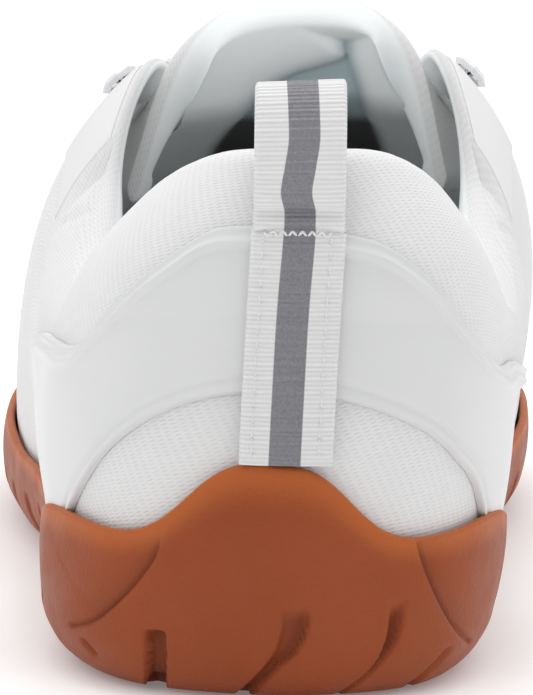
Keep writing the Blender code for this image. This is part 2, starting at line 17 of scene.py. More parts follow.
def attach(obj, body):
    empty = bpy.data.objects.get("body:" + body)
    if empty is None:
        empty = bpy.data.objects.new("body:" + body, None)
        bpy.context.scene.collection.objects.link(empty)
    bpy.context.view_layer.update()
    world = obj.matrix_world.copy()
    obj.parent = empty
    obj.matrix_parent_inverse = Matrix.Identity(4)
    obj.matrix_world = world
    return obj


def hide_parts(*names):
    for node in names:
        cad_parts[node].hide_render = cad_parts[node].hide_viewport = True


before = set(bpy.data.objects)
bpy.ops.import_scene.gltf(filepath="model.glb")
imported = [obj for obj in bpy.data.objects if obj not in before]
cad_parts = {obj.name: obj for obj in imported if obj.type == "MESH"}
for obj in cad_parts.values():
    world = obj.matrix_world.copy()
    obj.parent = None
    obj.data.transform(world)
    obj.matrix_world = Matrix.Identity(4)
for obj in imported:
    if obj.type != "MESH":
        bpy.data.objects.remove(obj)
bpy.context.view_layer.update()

# Picture and camera
PICTURE_HEIGHT = 695
CAMERA_PLACE = (-0.00678, -0.53522, 0.10852)
CAMERA_PAN = 0.00628
CAMERA_TILT = -0.11022
CAMERA_ROLL = 0.01361
FOCAL_PIXELS = 3456.0
SENSOR = 36.0

# Sizes of the last
LAST_LENGTH = 0.275
BALL_WIDTH = 0.108
HEEL_WIDTH = 0.066
HEEL_HEIGHT = 0.0793
INSTEP_HEIGHT = 0.091
VAMP_HEIGHT = 0.058
HEEL_REST = 0.032
TOE_SPRING = 0.011
ARCH_RISE = 0.002

# Upper
WALL = 0.0022
PADDING = 0.008
PADDING_START = 0.5
PADDING_END = 0.92
COLLAR_PUFF = 0.0015
OVERLAY = 0.0009
FILM_LIFT = 0.0006
EYESTAY_START = 4.4
EYESTAY_INNER = 0.76
EYESTAY_DIP = 0.03
EYESTAY_EDGE = 0.985
GAP = 0.0003

# Sole
SOLE_THICKNESS = 0.008
CUP_WALL = 0.0032
CUP_GAP = 0.0005
CUP_EDGE = 0.0016
CUP_HEIGHT = 0.0231
WAVE_HEIGHT = 0.0125
WAVE_WIDTH = 0.0135
WAVE_CENTRE = -0.003
INSOLE_THICKNESS = 0.003

# Tongue, loop, eyelets and lace
TONGUE_THICKNESS = 0.004
TONGUE_LEAN = 0.0065
TONGUE_GAP = 0.0018
TONGUE_TAPER = 0.25
TONGUE_TUCK = 0.68
TONGUE_SHOULDER = 0.95
TONGUE_FRONT = 0.84
LOOP_THICKNESS = 0.0013
LOOP_HEIGHT = 0.021
LOOP_DEPTH = 0.0088
LOOP_FOOT = 0.875
EYELET_WIRE = 0.0008
LACE_RADIUS = 0.0012

# Stations of one side from heel to toe: sole line (share of the length, distance from the
# axis), rim (the same and its height), and the wall's bulge low down and high up. Distances
# and heights are shares of the station's own width and height.
STATION_WIDTHS = (HEEL_WIDTH,) * 3 + (BALL_WIDTH,) * 8
STATION_HEIGHTS = (HEEL_HEIGHT,) * 5 + (INSTEP_HEIGHT,) * 2 + (VAMP_HEIGHT,) * 4
LATERAL = (
    (0.000, 0.015, 0.022, -0.023, 1.00, 0.030, 0.33, 0.035, 0.72),
    (0.027, 0.348, 0.040, 0.220, 0.990, 0.028, 0.33, 0.037, 0.72),
    (0.098, 0.506, 0.105, 0.372, 0.895, 0.027, 0.33, 0.043, 0.72),
    (0.207, 0.324, 0.204, 0.315, 0.700, 0.033, 0.34, 0.040, 0.73),
    (0.305, 0.332, 0.313, 0.300, 0.875, 0.058, 0.34, 0.064, 0.74),
    (0.407, 0.364, 0.393, 0.227, 1.005, 0.079, 0.36, 0.084, 0.76),
    (0.527, 0.426, 0.520, 0.157, 0.865, 0.066, 0.38, 0.087, 0.78),
    (0.651, 0.466, 0.633, 0.083, 1.070, 0.049, 0.42, 0.071, 0.82),
    (0.798, 0.452, 0.665, 0.046, 1.010, 0.040, 0.46, 0.048, 0.80),
    (0.942, 0.320, 0.675, 0.009, 1.000, 0.032, 0.46, 0.024, 0.76),
    (1.000, -0.055, 0.678, -0.028, 0.990, 0.032, 0.46, 0.008, 0.74),
)
MEDIAL = (
    (0.000, -0.015, 0.022, 0.023, 1.00, 0.030, 0.33, 0.035, 0.72),
    (0.027, 0.292, 0.040, 0.265, 0.990, 0.030, 0.33, 0.038, 0.72),
    (0.098, 0.426, 0.105, 0.402, 0.890, 0.037, 0.33, 0.042, 0.72),
    (0.207, 0.276, 0.204, 0.340, 0.667, 0.039, 0.34, 0.026, 0.73),
    (0.305, 0.276, 0.313, 0.318, 0.865, 0.062, 0.34, 0.060, 0.74),
    (0.407, 0.294, 0.393, 0.254, 1.028, 0.106, 0.36, 0.108, 0.76),
    (0.527, 0.352, 0.520, 0.204, 0.892, 0.092, 0.38, 0.108, 0.78),
    (0.651, 0.415, 0.633, 0.139, 1.085, 0.061, 0.42, 0.076, 0.82),
    (0.798, 0.432, 0.665, 0.102, 1.015, 0.050, 0.46, 0.056, 0.80),
    (0.942, 0.355, 0.675, 0.065, 1.000, 0.032, 0.46, 0.024, 0.76),
    (1.000, 0.055, 0.678, 0.028, 0.990, 0.032, 0.46, 0.008, 0.74),
)
SIDE = len(LATERAL) - 1
TURN = 2 * SIDE
LEVELS = (0.0, 0.33, 0.72, 1.0)
LEVEL_INWARD = (0.0, 0.12, 0.55, 1.0)
CUP_EDGE_LINE = (1.0, 1.05, 1.08, 0.82, 0.66, 0.69, 0.79, 0.90, 0.90, 0.82, 0.75)
SOLE_SIDE = ((0.66, 0.62), (0.14, 0.29), (-0.60, 0.07), (-1.50, 0.0))
SPINE_HEEL = 0.11
SPINE_TOE = 0.72
EYELET_STATIONS = (5.25, 5.72, 6.2, 6.68, 7.16)
EYELET_LEVEL = 0.925
LOOP_SHAPE = (
    (-0.08, 0.20), (-0.15, 0.45), (-0.12, 0.70), (0.06, 0.90), (0.38, 1.00), (0.70, 0.94),
    (0.82, 0.80), (0.74, 0.66), (0.52, 0.55), (0.33, 0.44), (0.26, 0.33),
)

# Edges of the heel film by signed station, as shares of the heel's height
FILM_TOP = (
    (-4.3, 0.505), (-3.2, 0.545), (-2.46, 0.590), (-2.15, 0.594), (-1.83, 0.612), (-1.46, 0.666),
    (-1.18, 0.724), (-0.97, 0.777), (-0.81, 0.816), (-0.58, 0.858), (-0.31, 0.878), (0.0, 0.886),
    (0.34, 0.890), (0.63, 0.876), (0.84, 0.830), (1.12, 0.767), (1.47, 0.687), (1.64, 0.652),
    (1.91, 0.632), (2.27, 0.628), (2.78, 0.620), (3.5, 0.580), (4.3, 0.555),
)
FILM_BOTTOM = (
    (-4.3, 0.18), (-2.3, 0.20), (-1.71, 0.320), (-1.53, 0.379), (-1.2, 0.450), (-0.99, 0.491),
    (-0.68, 0.536), (-0.26, 0.574), (0.0, 0.582), (0.26, 0.582), (0.58, 0.562), (0.85, 0.524),
    (1.04, 0.488), (1.22, 0.448), (1.39, 0.402), (1.62, 0.338), (2.1, 0.20), (4.3, 0.18),
)


def smooth(knots, values, at):
    """Read a smooth curve through a table of values at the given places."""
    knots = np.asarray(knots, float)
    values = np.asarray(values, float)
    slopes = np.gradient(values, knots, axis=0)
    at = np.clip(np.asarray(at, float), knots[0], knots[-1])
    index = np.clip(np.searchsorted(knots, at, side="right") - 1, 0, len(knots) - 2)
    step = knots[index + 1] - knots[index]
    s = (at - knots[index]) / step
    if values.ndim == 2:
        step = step[:, None]
        s = s[:, None]
    before = (1 + 2 * s) * (1 - s) ** 2 * values[index] + s * (1 - s) ** 2 * step * slopes[index]
    after = s ** 2 * (3 - 2 * s) * values[index + 1] + s ** 2 * (s - 1) * step * slopes[index + 1]
    return before + after


def unit(vectors):
    """Vectors brought to length 1."""
    return vectors / np.linalg.norm(vectors, axis=-1, keepdims=True)


def read_table(table, at):
    """Read a table of pairs as a smooth curve."""
    knots = [row[0] for row in table]
    values = [row[1] for row in table]
    return smooth(knots, values, at)


def ground(x, y):
    """Height of the sole's underside: flat at heel and ball, raised in the arch and at the toe."""
    along = (y + HEEL_REST) / LAST_LENGTH
    arch = np.sin(np.pi * np.clip((along - 0.26) / 0.26, 0.0, 1.0)) ** 2
    toe = np.clip((along - 0.70) / 0.30, 0.0, 1.3) ** 1.9
    return ARCH_RISE * arch * (1 + x / BALL_WIDTH) + TOE_SPRING * toe


def half_rows(table, side):
    """Sole line and rim points of one side, with the wall's bulges."""
    rows = []
    for row, width, height in zip(table, STATION_WIDTHS, STATION_HEIGHTS):
        line_y, line_x, rim_y, rim_x, rim_z, low_out, low_up, high_out, high_up = row
        rows.append((side * line_x * width, line_y * LAST_LENGTH - HEEL_REST,
                     side * rim_x * width, rim_y * LAST_LENGTH - HEEL_REST, rim_z * height,
                     low_out * BALL_WIDTH, low_up, high_out * BALL_WIDTH, high_up))
    return rows


def control_points():
    """Four points of the wall's profile at each of the stations round the shoe."""
    rows = np.array(half_rows(LATERAL, -1) + half_rows(MEDIAL, 1)[SIDE - 1:0:-1])
    line = rows[:, 0:2]
    rim = rows[:, 2:4]
    tangent = np.roll(line, -1, axis=0) - np.roll(line, 1, axis=0)
    outward = unit(np.stack([-tangent[:, 1], tangent[:, 0]], axis=1))
    foot = ground(line[:, 0], line[:, 1]) + SOLE_THICKNESS + GAP
    bulge = np.stack([0 * foot, rows[:, 5], rows[:, 7], 0 * foot], axis=1)
    rise = np.stack([0 * foot, rows[:, 6], rows[:, 8], 0 * foot + 1], axis=1)
    points = np.zeros((TURN, 4, 3))
    for k in range(4):
        plan = line + (rim - line) * LEVEL_INWARD[k] + outward * bulge[:, k:k + 1]
        points[:, k, 0:2] = plan
        points[:, k, 2] = foot + (rows[:, 4] - foot) * rise[:, k]
    return points


CONTROL = control_points()


def round_the_shoe(u):
    """The profile's four control points at any place round the shoe, on a smooth closed curve."""
    u = np.mod(u, TURN)
    index = np.floor(u).astype(int)
    s = (u - index)[..., None, None]
    p0, p1, p2, p3 = (CONTROL[(index + k) % TURN] for k in (-1, 0, 1, 2))
    points = p1 + 0.5 * s * (p2 - p0 + s * (2 * p0 - 5 * p1 + 4 * p2 - p3
                                            + s * (3 * (p1 - p2) + p3 - p0)))
    points[..., 0, 2] = ground(points[..., 0, 0], points[..., 0, 1]) + SOLE_THICKNESS + GAP
    return points


def plain_skin(u, t):
    """A point of the upper's surface without its padding."""
    u, t = np.broadcast_arrays(np.asarray(u, float), np.asarray(t, float))
    points = round_the_shoe(u)
    total = np.zeros(u.shape + (3,))
    for k, level in enumerate(LEVELS):
        weight = np.ones(u.shape)
        for other in LEVELS:
            if other != level:
                weight = weight * (t - other) / (level - other)
        total += points[..., k, :] * weight[..., None]
    return total


def outward_normal(u, t):
    """Unit normal of the upper's surface, away from the foot."""
    step = 0.002
    across = plain_skin(u, np.asarray(t) + step) - plain_skin(u, np.asarray(t) - step)
    along = plain_skin(np.asarray(u) + step, t) - plain_skin(np.asarray(u) - step, t)
    return unit(np.cross(across, along))


def signed(u):
    """Signed station: above 0 on the lateral side and below 0 on the medial side."""
    u = np.mod(u, TURN)
    return np.where(u > SIDE, u - TURN, u)


def ramp(value, start, end):
    """Smooth step from 0 at start to 1 at end."""
    s = np.clip((value - start) / (end - start), 0.0, 1.0)
    return s * s * (3 - 2 * s)


def hump(value, middle, width):
    """Soft ridge: 1 at the middle, fading out over about twice the width."""
    return np.exp(-((value - middle) / width) ** 2)


def collar(u):
    """1 round the padded collar, fading to 0 at the eyestay."""
    return 1 - ramp(np.abs(signed(u)), 3.3, 4.7)


def skin(u, t, off=0.0):
    """The upper's outer surface, moved outwards by off."""
    u, t = np.broadcast_arrays(np.asarray(u, float), np.asarray(t, float))
    puff = COLLAR_PUFF * collar(u) * np.sin(np.pi * np.clip((t - 0.68) / 0.32, 0.0, 1.0))
    return plain_skin(u, t) + outward_normal(u, t) * np.asarray(puff + off)[..., None]


def wall(u, t):
    """Thickness of the upper: textile, thicker where the collar is padded."""
    return WALL + (PADDING - WALL) * collar(u) * ramp(t, PADDING_START, PADDING_END)


def level_at_height(u, height, off=0.0):
    """The t at which the upper, or a surface off it, reaches a height above the floor."""
    t = np.linspace(0.0, 1.0, 201)
    heights = skin(np.asarray(u)[:, None], t[None, :], off)[..., 2]
    return np.array([np.interp(h, row, t) for h, row in zip(height, heights)])


def flat_outward(u):
    """Unit normal of the sole line in plan."""
    normal = outward_normal(u, 0.0)
    normal[..., 2] = 0.0
    return unit(normal)


def spine_points(u):
    """Where the floor's rows from both sides meet, on one straight axis."""
    line = plain_skin(u, 0.0)
    other = plain_skin(TURN - u, 0.0)
    heel = SPINE_HEEL * LAST_LENGTH - HEEL_REST
    toe = SPINE_TOE * LAST_LENGTH - HEEL_REST
    y = np.clip((line[:, 1] + other[:, 1]) / 2, heel, toe)
    return np.stack([0.0 * y, y, 0.0 * y], axis=1)


def cup_height(u):
    """Height of the cup's edge, with the wave over the middle of the heel."""
    from_heel = np.abs(signed(u))
    line = smooth(np.arange(SIDE + 1), CUP_EDGE_LINE, from_heel) * CUP_HEIGHT
    aside = np.abs(plain_skin(u, 0.3)[:, 0] - WAVE_CENTRE) / WAVE_WIDTH
    wave = WAVE_HEIGHT * np.exp(-aside ** 3) * (from_heel < SIDE / 2)
    return line + wave + ground(0.0, plain_skin(u, 0.0)[:, 1])


def cup_level(u):
    """The t of the cup's edge."""
    return level_at_height(u, cup_height(u))


def spread(start, end, count):
    """Evenly spaced places from start to end."""
    return np.linspace(start, end, count)


def from_ends(count):
    """Number of steps from each of a row of places to the nearer end."""
    places = np.arange(count)
    return np.minimum(places, places[::-1])


def heel_columns(fine, coarse, reach):
    """Places round the whole shoe, closer together within reach stations of the heel."""
    places = []
    for station in range(TURN):
        near = station < reach or station >= TURN - reach
        count = fine if near else coarse
        places += [station + k / count for k in range(count)]
    return np.array(places)


def read_rows(knots, rows, at):
    """Smooth rows of points through a few rows, at the given places between them."""
    flat = rows.reshape(len(rows), -1)
    return smooth(knots, flat, at).reshape((len(at),) + rows.shape[1:])


def grid_normals(rows, closed_columns):
    """Unit normals of a grid of points."""
    up = np.gradient(rows, axis=0)
    if closed_columns:
        along = (np.roll(rows, -1, axis=1) - np.roll(rows, 1, axis=1)) / 2
    else:
        along = np.gradient(rows, axis=1)
    normal = np.cross(up, along)
    length = np.linalg.norm(normal, axis=-1, keepdims=True)
    return normal / np.maximum(length, 1e-12)


def grid_mesh(name, rows, closed_columns=False, closed_rows=False, masks=None):
    """Skin a grid of points with quads, with lengths in metres as its UV map and named masks."""
    count_r, count_c = rows.shape[:2]
    r = np.arange(count_r if closed_rows else count_r - 1)
    c = np.arange(count_c if closed_columns else count_c - 1)
    r, c = np.meshgrid(r, c, indexing="ij")
    corner_r = np.stack([r, r + 1, r + 1, r], -1).reshape(-1, 4)
    corner_c = np.stack([c, c, c + 1, c + 1], -1).reshape(-1, 4)
    faces = (corner_r % count_r) * count_c + corner_c % count_c
    mesh = bpy.data.meshes.new(name)
    mesh.from_pydata(rows.reshape(-1, 3).tolist(), [], faces.tolist())
    middle = rows[count_r // 2]
    along = np.linalg.norm(np.roll(middle, -1, axis=0) - middle, axis=1)
    along = np.concatenate([[0.0], np.cumsum(along)])
    up = np.linalg.norm(np.roll(rows, -1, axis=0) - rows, axis=2).mean(axis=1)
    up = np.concatenate([[0.0], np.cumsum(up)])
    uv = np.stack([along[corner_c], up[corner_r]], -1)
    layer = mesh.uv_layers.new(name="cloth")
    layer.data.foreach_set("uv", uv.ravel())
    for mask, values in (masks or {}).items():
        attribute = mesh.attributes.new(mask, "FLOAT", "POINT")
        attribute.data.foreach_set("value", np.broadcast_to(values, rows.shape[:2]).astype(float).ravel())
    weld(mesh)
    return mesh


def weld(mesh):
    """Merge points that coincide."""
    work = bmesh.new()
    work.from_mesh(mesh)
    bmesh.ops.remove_doubles(work, verts=work.verts, dist=2e-6)
    work.to_mesh(mesh)
    work.free()


def show(mesh, material, slot, *nodes):
    """Put a mesh into the scene as a piece that rides on the shoe and stands for CAD nodes."""
    made = bpy.data.objects.new(mesh.name, mesh)
    bpy.context.scene.collection.objects.link(made)
    mesh.materials.append(material)
    mesh.shade_smooth()
    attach(made, "root")
    if nodes:
        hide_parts(*nodes)


def patch(front, back):
    """Rows of a closed thin shell from its front rows and its back rows."""
    return np.concatenate([front, back[::-1]])


def sheet(middle, normal, front, back):
    """Rows of a closed sheet round its middle surface, with both long edges drawn together."""
    rows = patch(middle + normal * front[..., None], middle - normal * back[..., None])
    for end in (0, -1):
        rows[:, end] = np.concatenate([middle[:, end], middle[::-1, end]])
    return rows


def line_distance(x, z, path):
    """Distance from a line through points, its side (+1 left of its run) and the share of its run."""
    best = np.full(x.shape, 1e9)
    side = np.zeros(x.shape)
    place = np.zeros(x.shape)
    path = np.asarray(path, float)
    lengths = np.linalg.norm(np.diff(path, axis=0), axis=1)
    starts = np.concatenate([[0.0], np.cumsum(lengths)])
    for k in range(len(path) - 1):
        step = path[k + 1] - path[k]
        share = ((x - path[k, 0]) * step[0] + (z - path[k, 1]) * step[1]) / (step @ step)
        share = np.clip(share, 0.0, 1.0)
        off_x = x - path[k, 0] - share * step[0]
        off_z = z - path[k, 1] - share * step[1]
        distance = np.hypot(off_x, off_z)
        nearer = distance < best
        best = np.where(nearer, distance, best)
        side = np.where(nearer, np.sign(step[0] * off_z - step[1] * off_x), side)
        place = np.where(nearer, (starts[k] + share * lengths[k]) / starts[-1], place)
    return best, side, place


def curve_path(points, count=24):
    """A smooth run of points through a few."""
    points = np.asarray(points, float)
    return smooth(np.arange(len(points)), points, spread(0, len(points) - 1, count))


# Columns and rows of the upper's mesh
COLUMNS = heel_columns(30, 12, 5)
OUTSIDE_ROWS = 96
RIM_ROWS = 12
INSIDE_ROWS = 44

# Dent, roll and seam where the collar meets the eyestay: signed stations and metres
DENT_STATION = 4.25
DENT_WIDTH = 0.09
DENT_DEPTH = 0.0024
ROLL_HEIGHT = 0.0018
SEAM_STATION = 4.02
SEAM_LEAN = 1.5
SEAM_WIDTH = 0.035
SEAM_DEPTH = 0.0007


def upper_relief(u, t):
    """Height of the folds, dents and seams on the outside of the upper, in metres."""
    s = signed(u)
    dent = hump(np.abs(s), DENT_STATION, DENT_WIDTH) * ramp(t, 0.78, 0.98)
    roll = ramp(np.abs(s), 2.7, 3.6) * (1 - ramp(np.abs(s), 3.98, 4.2)) * hump(t, 0.90, 0.15)
    seam = hump(np.abs(s), SEAM_STATION + SEAM_LEAN * (0.86 - t), SEAM_WIDTH) * ramp(t, 0.66, 0.74)
    return ROLL_HEIGHT * roll - DENT_DEPTH * dent - SEAM_DEPTH * seam


def make_upper(material):
    """Hollow textile wall: outside up to the rim, over the padded rim and down the inside."""
    u = COLUMNS[None, :]
    outside = spread(0.0, 1.0, OUTSIDE_ROWS)[:, None]
    rows = [skin(u, outside, upper_relief(u, outside))]
    top = skin(COLUMNS, 1.0)
    normal = outward_normal(COLUMNS, 1.0)
    rise = unit(top - skin(COLUMNS, 0.99))
    radius = wall(COLUMNS, 1.0)[:, None] / 2
    for angle in np.radians(spread(12, 168, RIM_ROWS)):
        rows.append((top + radius * (normal * (np.cos(angle) - 1) + rise * np.sin(angle)))[None])
    inside = spread(1.0, 0.06, INSIDE_ROWS)[:, None]
    rows.append(skin(u, inside, -wall(u, inside)))
    base = skin(COLUMNS, 0.0, -WALL)
    base[:, 2] = rows[0][0, :, 2]
    rows.append(base[None])
    rows = np.concatenate(rows)
    row = np.arange(len(rows))[:, None]
    lining = 1.0 * (row >= OUTSIDE_ROWS + RIM_ROWS // 2)
    below_rim = ramp(row - OUTSIDE_ROWS - RIM_ROWS, 4, 11)
    # Painted shade: the lining deep inside the forefoot, below the rim, is marked to be painted near black.
    deep = ramp(np.abs(signed(COLUMNS)), 5.6, 6.1)[None, :] * below_rim
    masks = {"lining": lining, "painted_deep_shade": deep, "shade": 0.0 * lining}
    mesh = grid_mesh("upper_textile", rows, True, True, masks)
    show(mesh, material, "white_textile", "upper")


def shell_over_skin(name, u, low, high, front_rows, height, relief, taper):
    """A thin overlay on the upper, between two edges, thinning out at all of them."""
    share = spread(0.0, 1.0, front_rows)[:, None]
    t = low + (high - low) * share
    across = np.minimum(share, 1 - share) * front_rows
    ends = from_ends(len(u))
    edge = ramp(across, -0.6, 2.2) * ramp(ends, -1.0, taper)[None, :]
    folds = upper_relief(u[None, :], t)
    front = skin(u[None, :], t, height * edge + relief(u[None, :], t) * edge + folds + 0.0001)
    under = low + (high - low) * spread(0.0, 1.0, 14)[:, None]
    back = skin(u[None, :], under, 0.00005 + upper_relief(u[None, :], under))
    rows = closed_ends(front, back)
    return grid_mesh(name, rows, False, True, {"end": 1 - ramp(ends, 0.0, 3.0 * taper)[None, :]})


def closed_ends(front, back):
    """Closed shell rows whose two ends are drawn together onto the back."""
    rows = patch(front, back)
    for end in (0, -1):
        place = spread(0.0, 1.0, len(front))
        edge = np.stack([np.interp(place, spread(0, 1, len(back)), back[:, end, k]) for k in range(3)], -1)
        rows[:len(front), end] = edge
    return rows


# Heel film: its reach in stations, how far it tucks into the cup, and the raised piping and
# the groove, with heights as shares of the heel's
FILM_REACH = 4.3
FILM_TUCK = 0.002
FILM_TAPER = 56.0
EYESTAY_TAPER = 40.0
PIPING_HEIGHT = 0.0007
GROOVE_DEPTH = 0.0004


def film_relief(u, t):
    """Raised piping a little below the film's top edge and a soft groove over its arch."""
    s = signed(u)
    top = read_table(FILM_TOP, s)
    bottom = read_table(FILM_BOTTOM, s)
    height = skin(u, t)[..., 2] / HEEL_HEIGHT
    piping = PIPING_HEIGHT * hump(height, top - 0.034, 0.009)
    groove = GROOVE_DEPTH * hump(height, bottom + 0.028, 0.010)
    return piping - groove


def make_heel_film(material):
    """Smooth film round the heel, between the collar's band and the arched window."""
    u = spread(-FILM_REACH, FILM_REACH, 340)
    top = read_table(FILM_TOP, u) * HEEL_HEIGHT
    bottom = np.maximum(read_table(FILM_BOTTOM, u) * HEEL_HEIGHT, cup_height(u) - FILM_TUCK)
    low = level_at_height(u, bottom)
    high = level_at_height(u, top)
    mesh = shell_over_skin("heel_film", u, low, high, 90, OVERLAY + GAP, film_relief, FILM_TAPER)
    show(mesh, material, "white_film", "heel_overlay")


def make_eyestay(material):
    """Smooth horseshoe round the throat."""
    u = spread(EYESTAY_START, TURN - EYESTAY_START, 260)
    turned = (u - EYESTAY_START) / (TURN - 2 * EYESTAY_START)
    inner = EYESTAY_INNER - EYESTAY_DIP * np.sin(np.pi * turned)
    high = 0.0 * u + EYESTAY_EDGE
    mesh = shell_over_skin("eyestay_film", u, inner, high, 60, OVERLAY + GAP,
                           lambda u, t: 0.0 * (u + t), EYESTAY_TAPER)
    show(mesh, material, "white_film", "eyestay")


def sole_side_row(u, out, up):
    """A row of the sole's side at a share of the cup's wall outside the sole line."""
    row = plain_skin(u, 0.0) + flat_outward(u) * out * (CUP_GAP + CUP_WALL)
    row[:, 2] = ground(row[:, 0], row[:, 1]) + up * SOLE_THICKNESS
    return row


def plate_rows(edge, u, lift, shares):
    """Rows from the spine to an edge at a height above the sole's underside."""
    spine = spine_points(u)
    rows = []
    for share in shares:
        row = spine + (edge - spine) * share
        row[:, 2] = ground(row[:, 0], row[:, 1]) + lift
        rows.append(row)
    return np.array(rows)


# Lines on the heel of the sole as seen from behind: places across and up, in metres
LEFT_CREASE = (
    (-0.0184, 0.0262), (-0.0201, 0.0213), (-0.0217, 0.0187), (-0.0241, 0.0155), (-0.0270, 0.0123),
    (-0.0292, 0.0102), (-0.0325, 0.0085),
)
RIGHT_CREASE = (
    (0.0186, 0.0262), (0.0205, 0.0203), (0.0213, 0.0183), (0.0230, 0.0145), (0.0253, 0.0103),
    (0.0280, 0.0065),
)
LEAVES = (
    (((-0.0010, 0.0155), (-0.0011, 0.0118), (-0.0018, 0.0089), (-0.0032, 0.0063), (-0.0050, 0.0039),
      (-0.0088, -0.001)),
     ((0.0034, 0.0155), (0.0032, 0.0118), (0.0020, 0.0089), (0.0006, 0.0070), (-0.0017, 0.0047),
      (-0.0062, -0.001))),
    (((0.0150, 0.0145), (0.0148, 0.0108), (0.0138, 0.0075), (0.0122, 0.0049), (0.0098, 0.0026),
      (0.0052, -0.001)),
     ((0.0177, 0.0145), (0.0170, 0.0106), (0.0156, 0.0078), (0.0136, 0.0052), (0.0112, 0.0028),
      (0.0066, -0.001))),
)
LEAF_TOP = 0.0162
LEAF_DEPTH = 0.0019
SLIT = ((0.0253, 0.0074), (0.0235, 0.0054), (0.0205, 0.0024), (0.0185, 0.0008))
NICK = ((-0.0311, 0.0068), (-0.0299, 0.0058), (-0.0289, 0.0048))
SLOT_PLACE = -0.01945
SLOT_HALF = 0.0016
SLOT_TOP = 0.0104
SLOT_DEPTH = 0.0022
CHEEK_DEPTH = 0.0011
LINE_DEPTH = 0.0008
LUG_DEPTH = 0.0014
LUG_STATIONS = np.arange(2.2, 9.7, 0.55)
SIDE_ROWS = 88


def leaf_depth(x, z, left, right):
    """Share of a leaf's depth: 1 at its right edge, half as deep at its left one, 0 outside."""
    near, side, _ = line_distance(x, z, curve_path(left, 60))
    far, other, _ = line_distance(x, z, curve_path(right, 60))
    inward, back = near * side, -far * other
    across = np.clip(inward / np.maximum(inward + back, 1e-6), 0.0, 1.0)
    walls = ramp(inward, 0.0, 0.0006) * ramp(back, 0.0, 0.0005)
    return walls * (0.5 + 0.5 * across) * (1 - ramp(z, LEAF_TOP - 0.0045, LEAF_TOP))


def cheek_depth(x, z, crease, cheek_side):
    """Share of the hollow beside a crease, sharp at the crease and fading away from it."""
    distance, side, place = line_distance(x, z, curve_path(crease))
    signed_distance = distance * side * cheek_side
    ends = ramp(place, 0.0, 0.25) * (1 - ramp(place, 0.75, 1.0))
    return ramp(signed_distance, -0.0002, 0.0004) * np.exp(-np.maximum(signed_distance, 0) / 0.004) * ends


def sole_relief(points, u):
    """Creases, leaf grooves, slots and lugs of the sole's outside, in metres."""
    x, y, z = points[..., 0], points[..., 1], points[..., 2]
    depth = 0.0 * x
    for left, right in LEAVES:
        depth = depth + LEAF_DEPTH * leaf_depth(x, z, left, right)
    depth = depth + CHEEK_DEPTH * cheek_depth(x, z, LEFT_CREASE, -1)
    depth = depth + CHEEK_DEPTH * cheek_depth(x, z, RIGHT_CREASE, 1)
    for line, width in ((SLIT, 0.0008), (NICK, 0.0007), (LEFT_CREASE, 0.0006), (RIGHT_CREASE, 0.0006)):
        distance, _, place = line_distance(x, z, curve_path(line, 40))
        depth = depth + LINE_DEPTH * (1 - ramp(distance, 0.0, width)) * ramp(place, 0.0, 0.2)
    slot = ramp(SLOT_HALF - np.abs(x - SLOT_PLACE), 0.0, 0.0004) * ramp(SLOT_TOP - z, 0.0, 0.0004)
    depth = np.maximum(depth, SLOT_DEPTH * slot)
    depth = depth * (1 - ramp(y, -0.014, -0.006))
    station = np.abs(signed(u))[None, :]
    lift = z - ground(x, y)
    for place in LUG_STATIONS:
        groove = 1 - ramp(np.abs(station - place), 0.03, 0.075)
        depth = depth + LUG_DEPTH * groove * (1 - ramp(lift, 0.0085, 0.0115))
    return depth


def make_outsole(material):
    """Rubber cup sole with its wave, creases, lugs and grooves."""
    u = heel_columns(56, 30, 3)
    top = cup_level(u) - 0.005
    inner_foot = plain_skin(u, 0.0) + flat_outward(u) * CUP_GAP
    floor = plate_rows(inner_foot, u, SOLE_THICKNESS, spread(0.0, 1.0, 3))
    inside = np.array([skin(u, np.minimum(t, top), CUP_GAP) for t in spread(0.06, 0.54, 6)])
    lip = []
    for angle in spread(np.pi, 0.0, 7)[:-1]:
        off = CUP_GAP + CUP_EDGE * (1 + np.cos(angle)) / 2
        lip.append(skin(u, top + 0.010 * np.sin(angle), off))
    outside = []
    for share in (1.0, 0.85, 0.62, 0.45, 0.3, 0.15, 0.0):
        thickness = CUP_WALL + (CUP_EDGE - CUP_WALL) * share ** 2
        outside.append(skin(u, top * share, CUP_GAP + thickness))
    for out, up in SOLE_SIDE:
        outside.append(sole_side_row(u, out, up))
    knots = (0.0, 0.10, 0.24, 0.34, 0.44, 0.54, 0.62, 0.72, 0.83, 0.92, 1.0)
    outside = read_rows(knots, np.array(outside), spread(0.0, 1.0, SIDE_ROWS))
    depth = sole_relief(outside, u)
    outside = outside + grid_normals(outside, True) * depth[..., None]
    under = plate_rows(outside[-1], u, 0.0, spread(0.94, 0.0, 6))
    rows = np.concatenate([floor, inside, lip, outside, under])[::-1]
    start = len(floor) + len(inside)
    side = slice(start + len(lip), start + len(lip) + SIDE_ROWS)
    edge = np.zeros(len(rows))
    edge[start:side.start] = 1.0
    edge[side] = 1 - ramp(spread(0.0, 1.0, SIDE_ROWS), 0.0, 0.16)
    # Painted shade: the sole's grooves, creases, slots and the gaps between lugs are marked to be painted
    # darker.
    hollow = np.zeros(rows.shape[:2])
    hollow[side] = ramp(depth, 0.0002, 0.0016)
    masks = {"edge": edge[::-1, None], "hollow": hollow[::-1]}
    mesh = grid_mesh("outsole_rubber", rows, True, False, masks)
    show(mesh, material, "gum_rubber", "outsole")


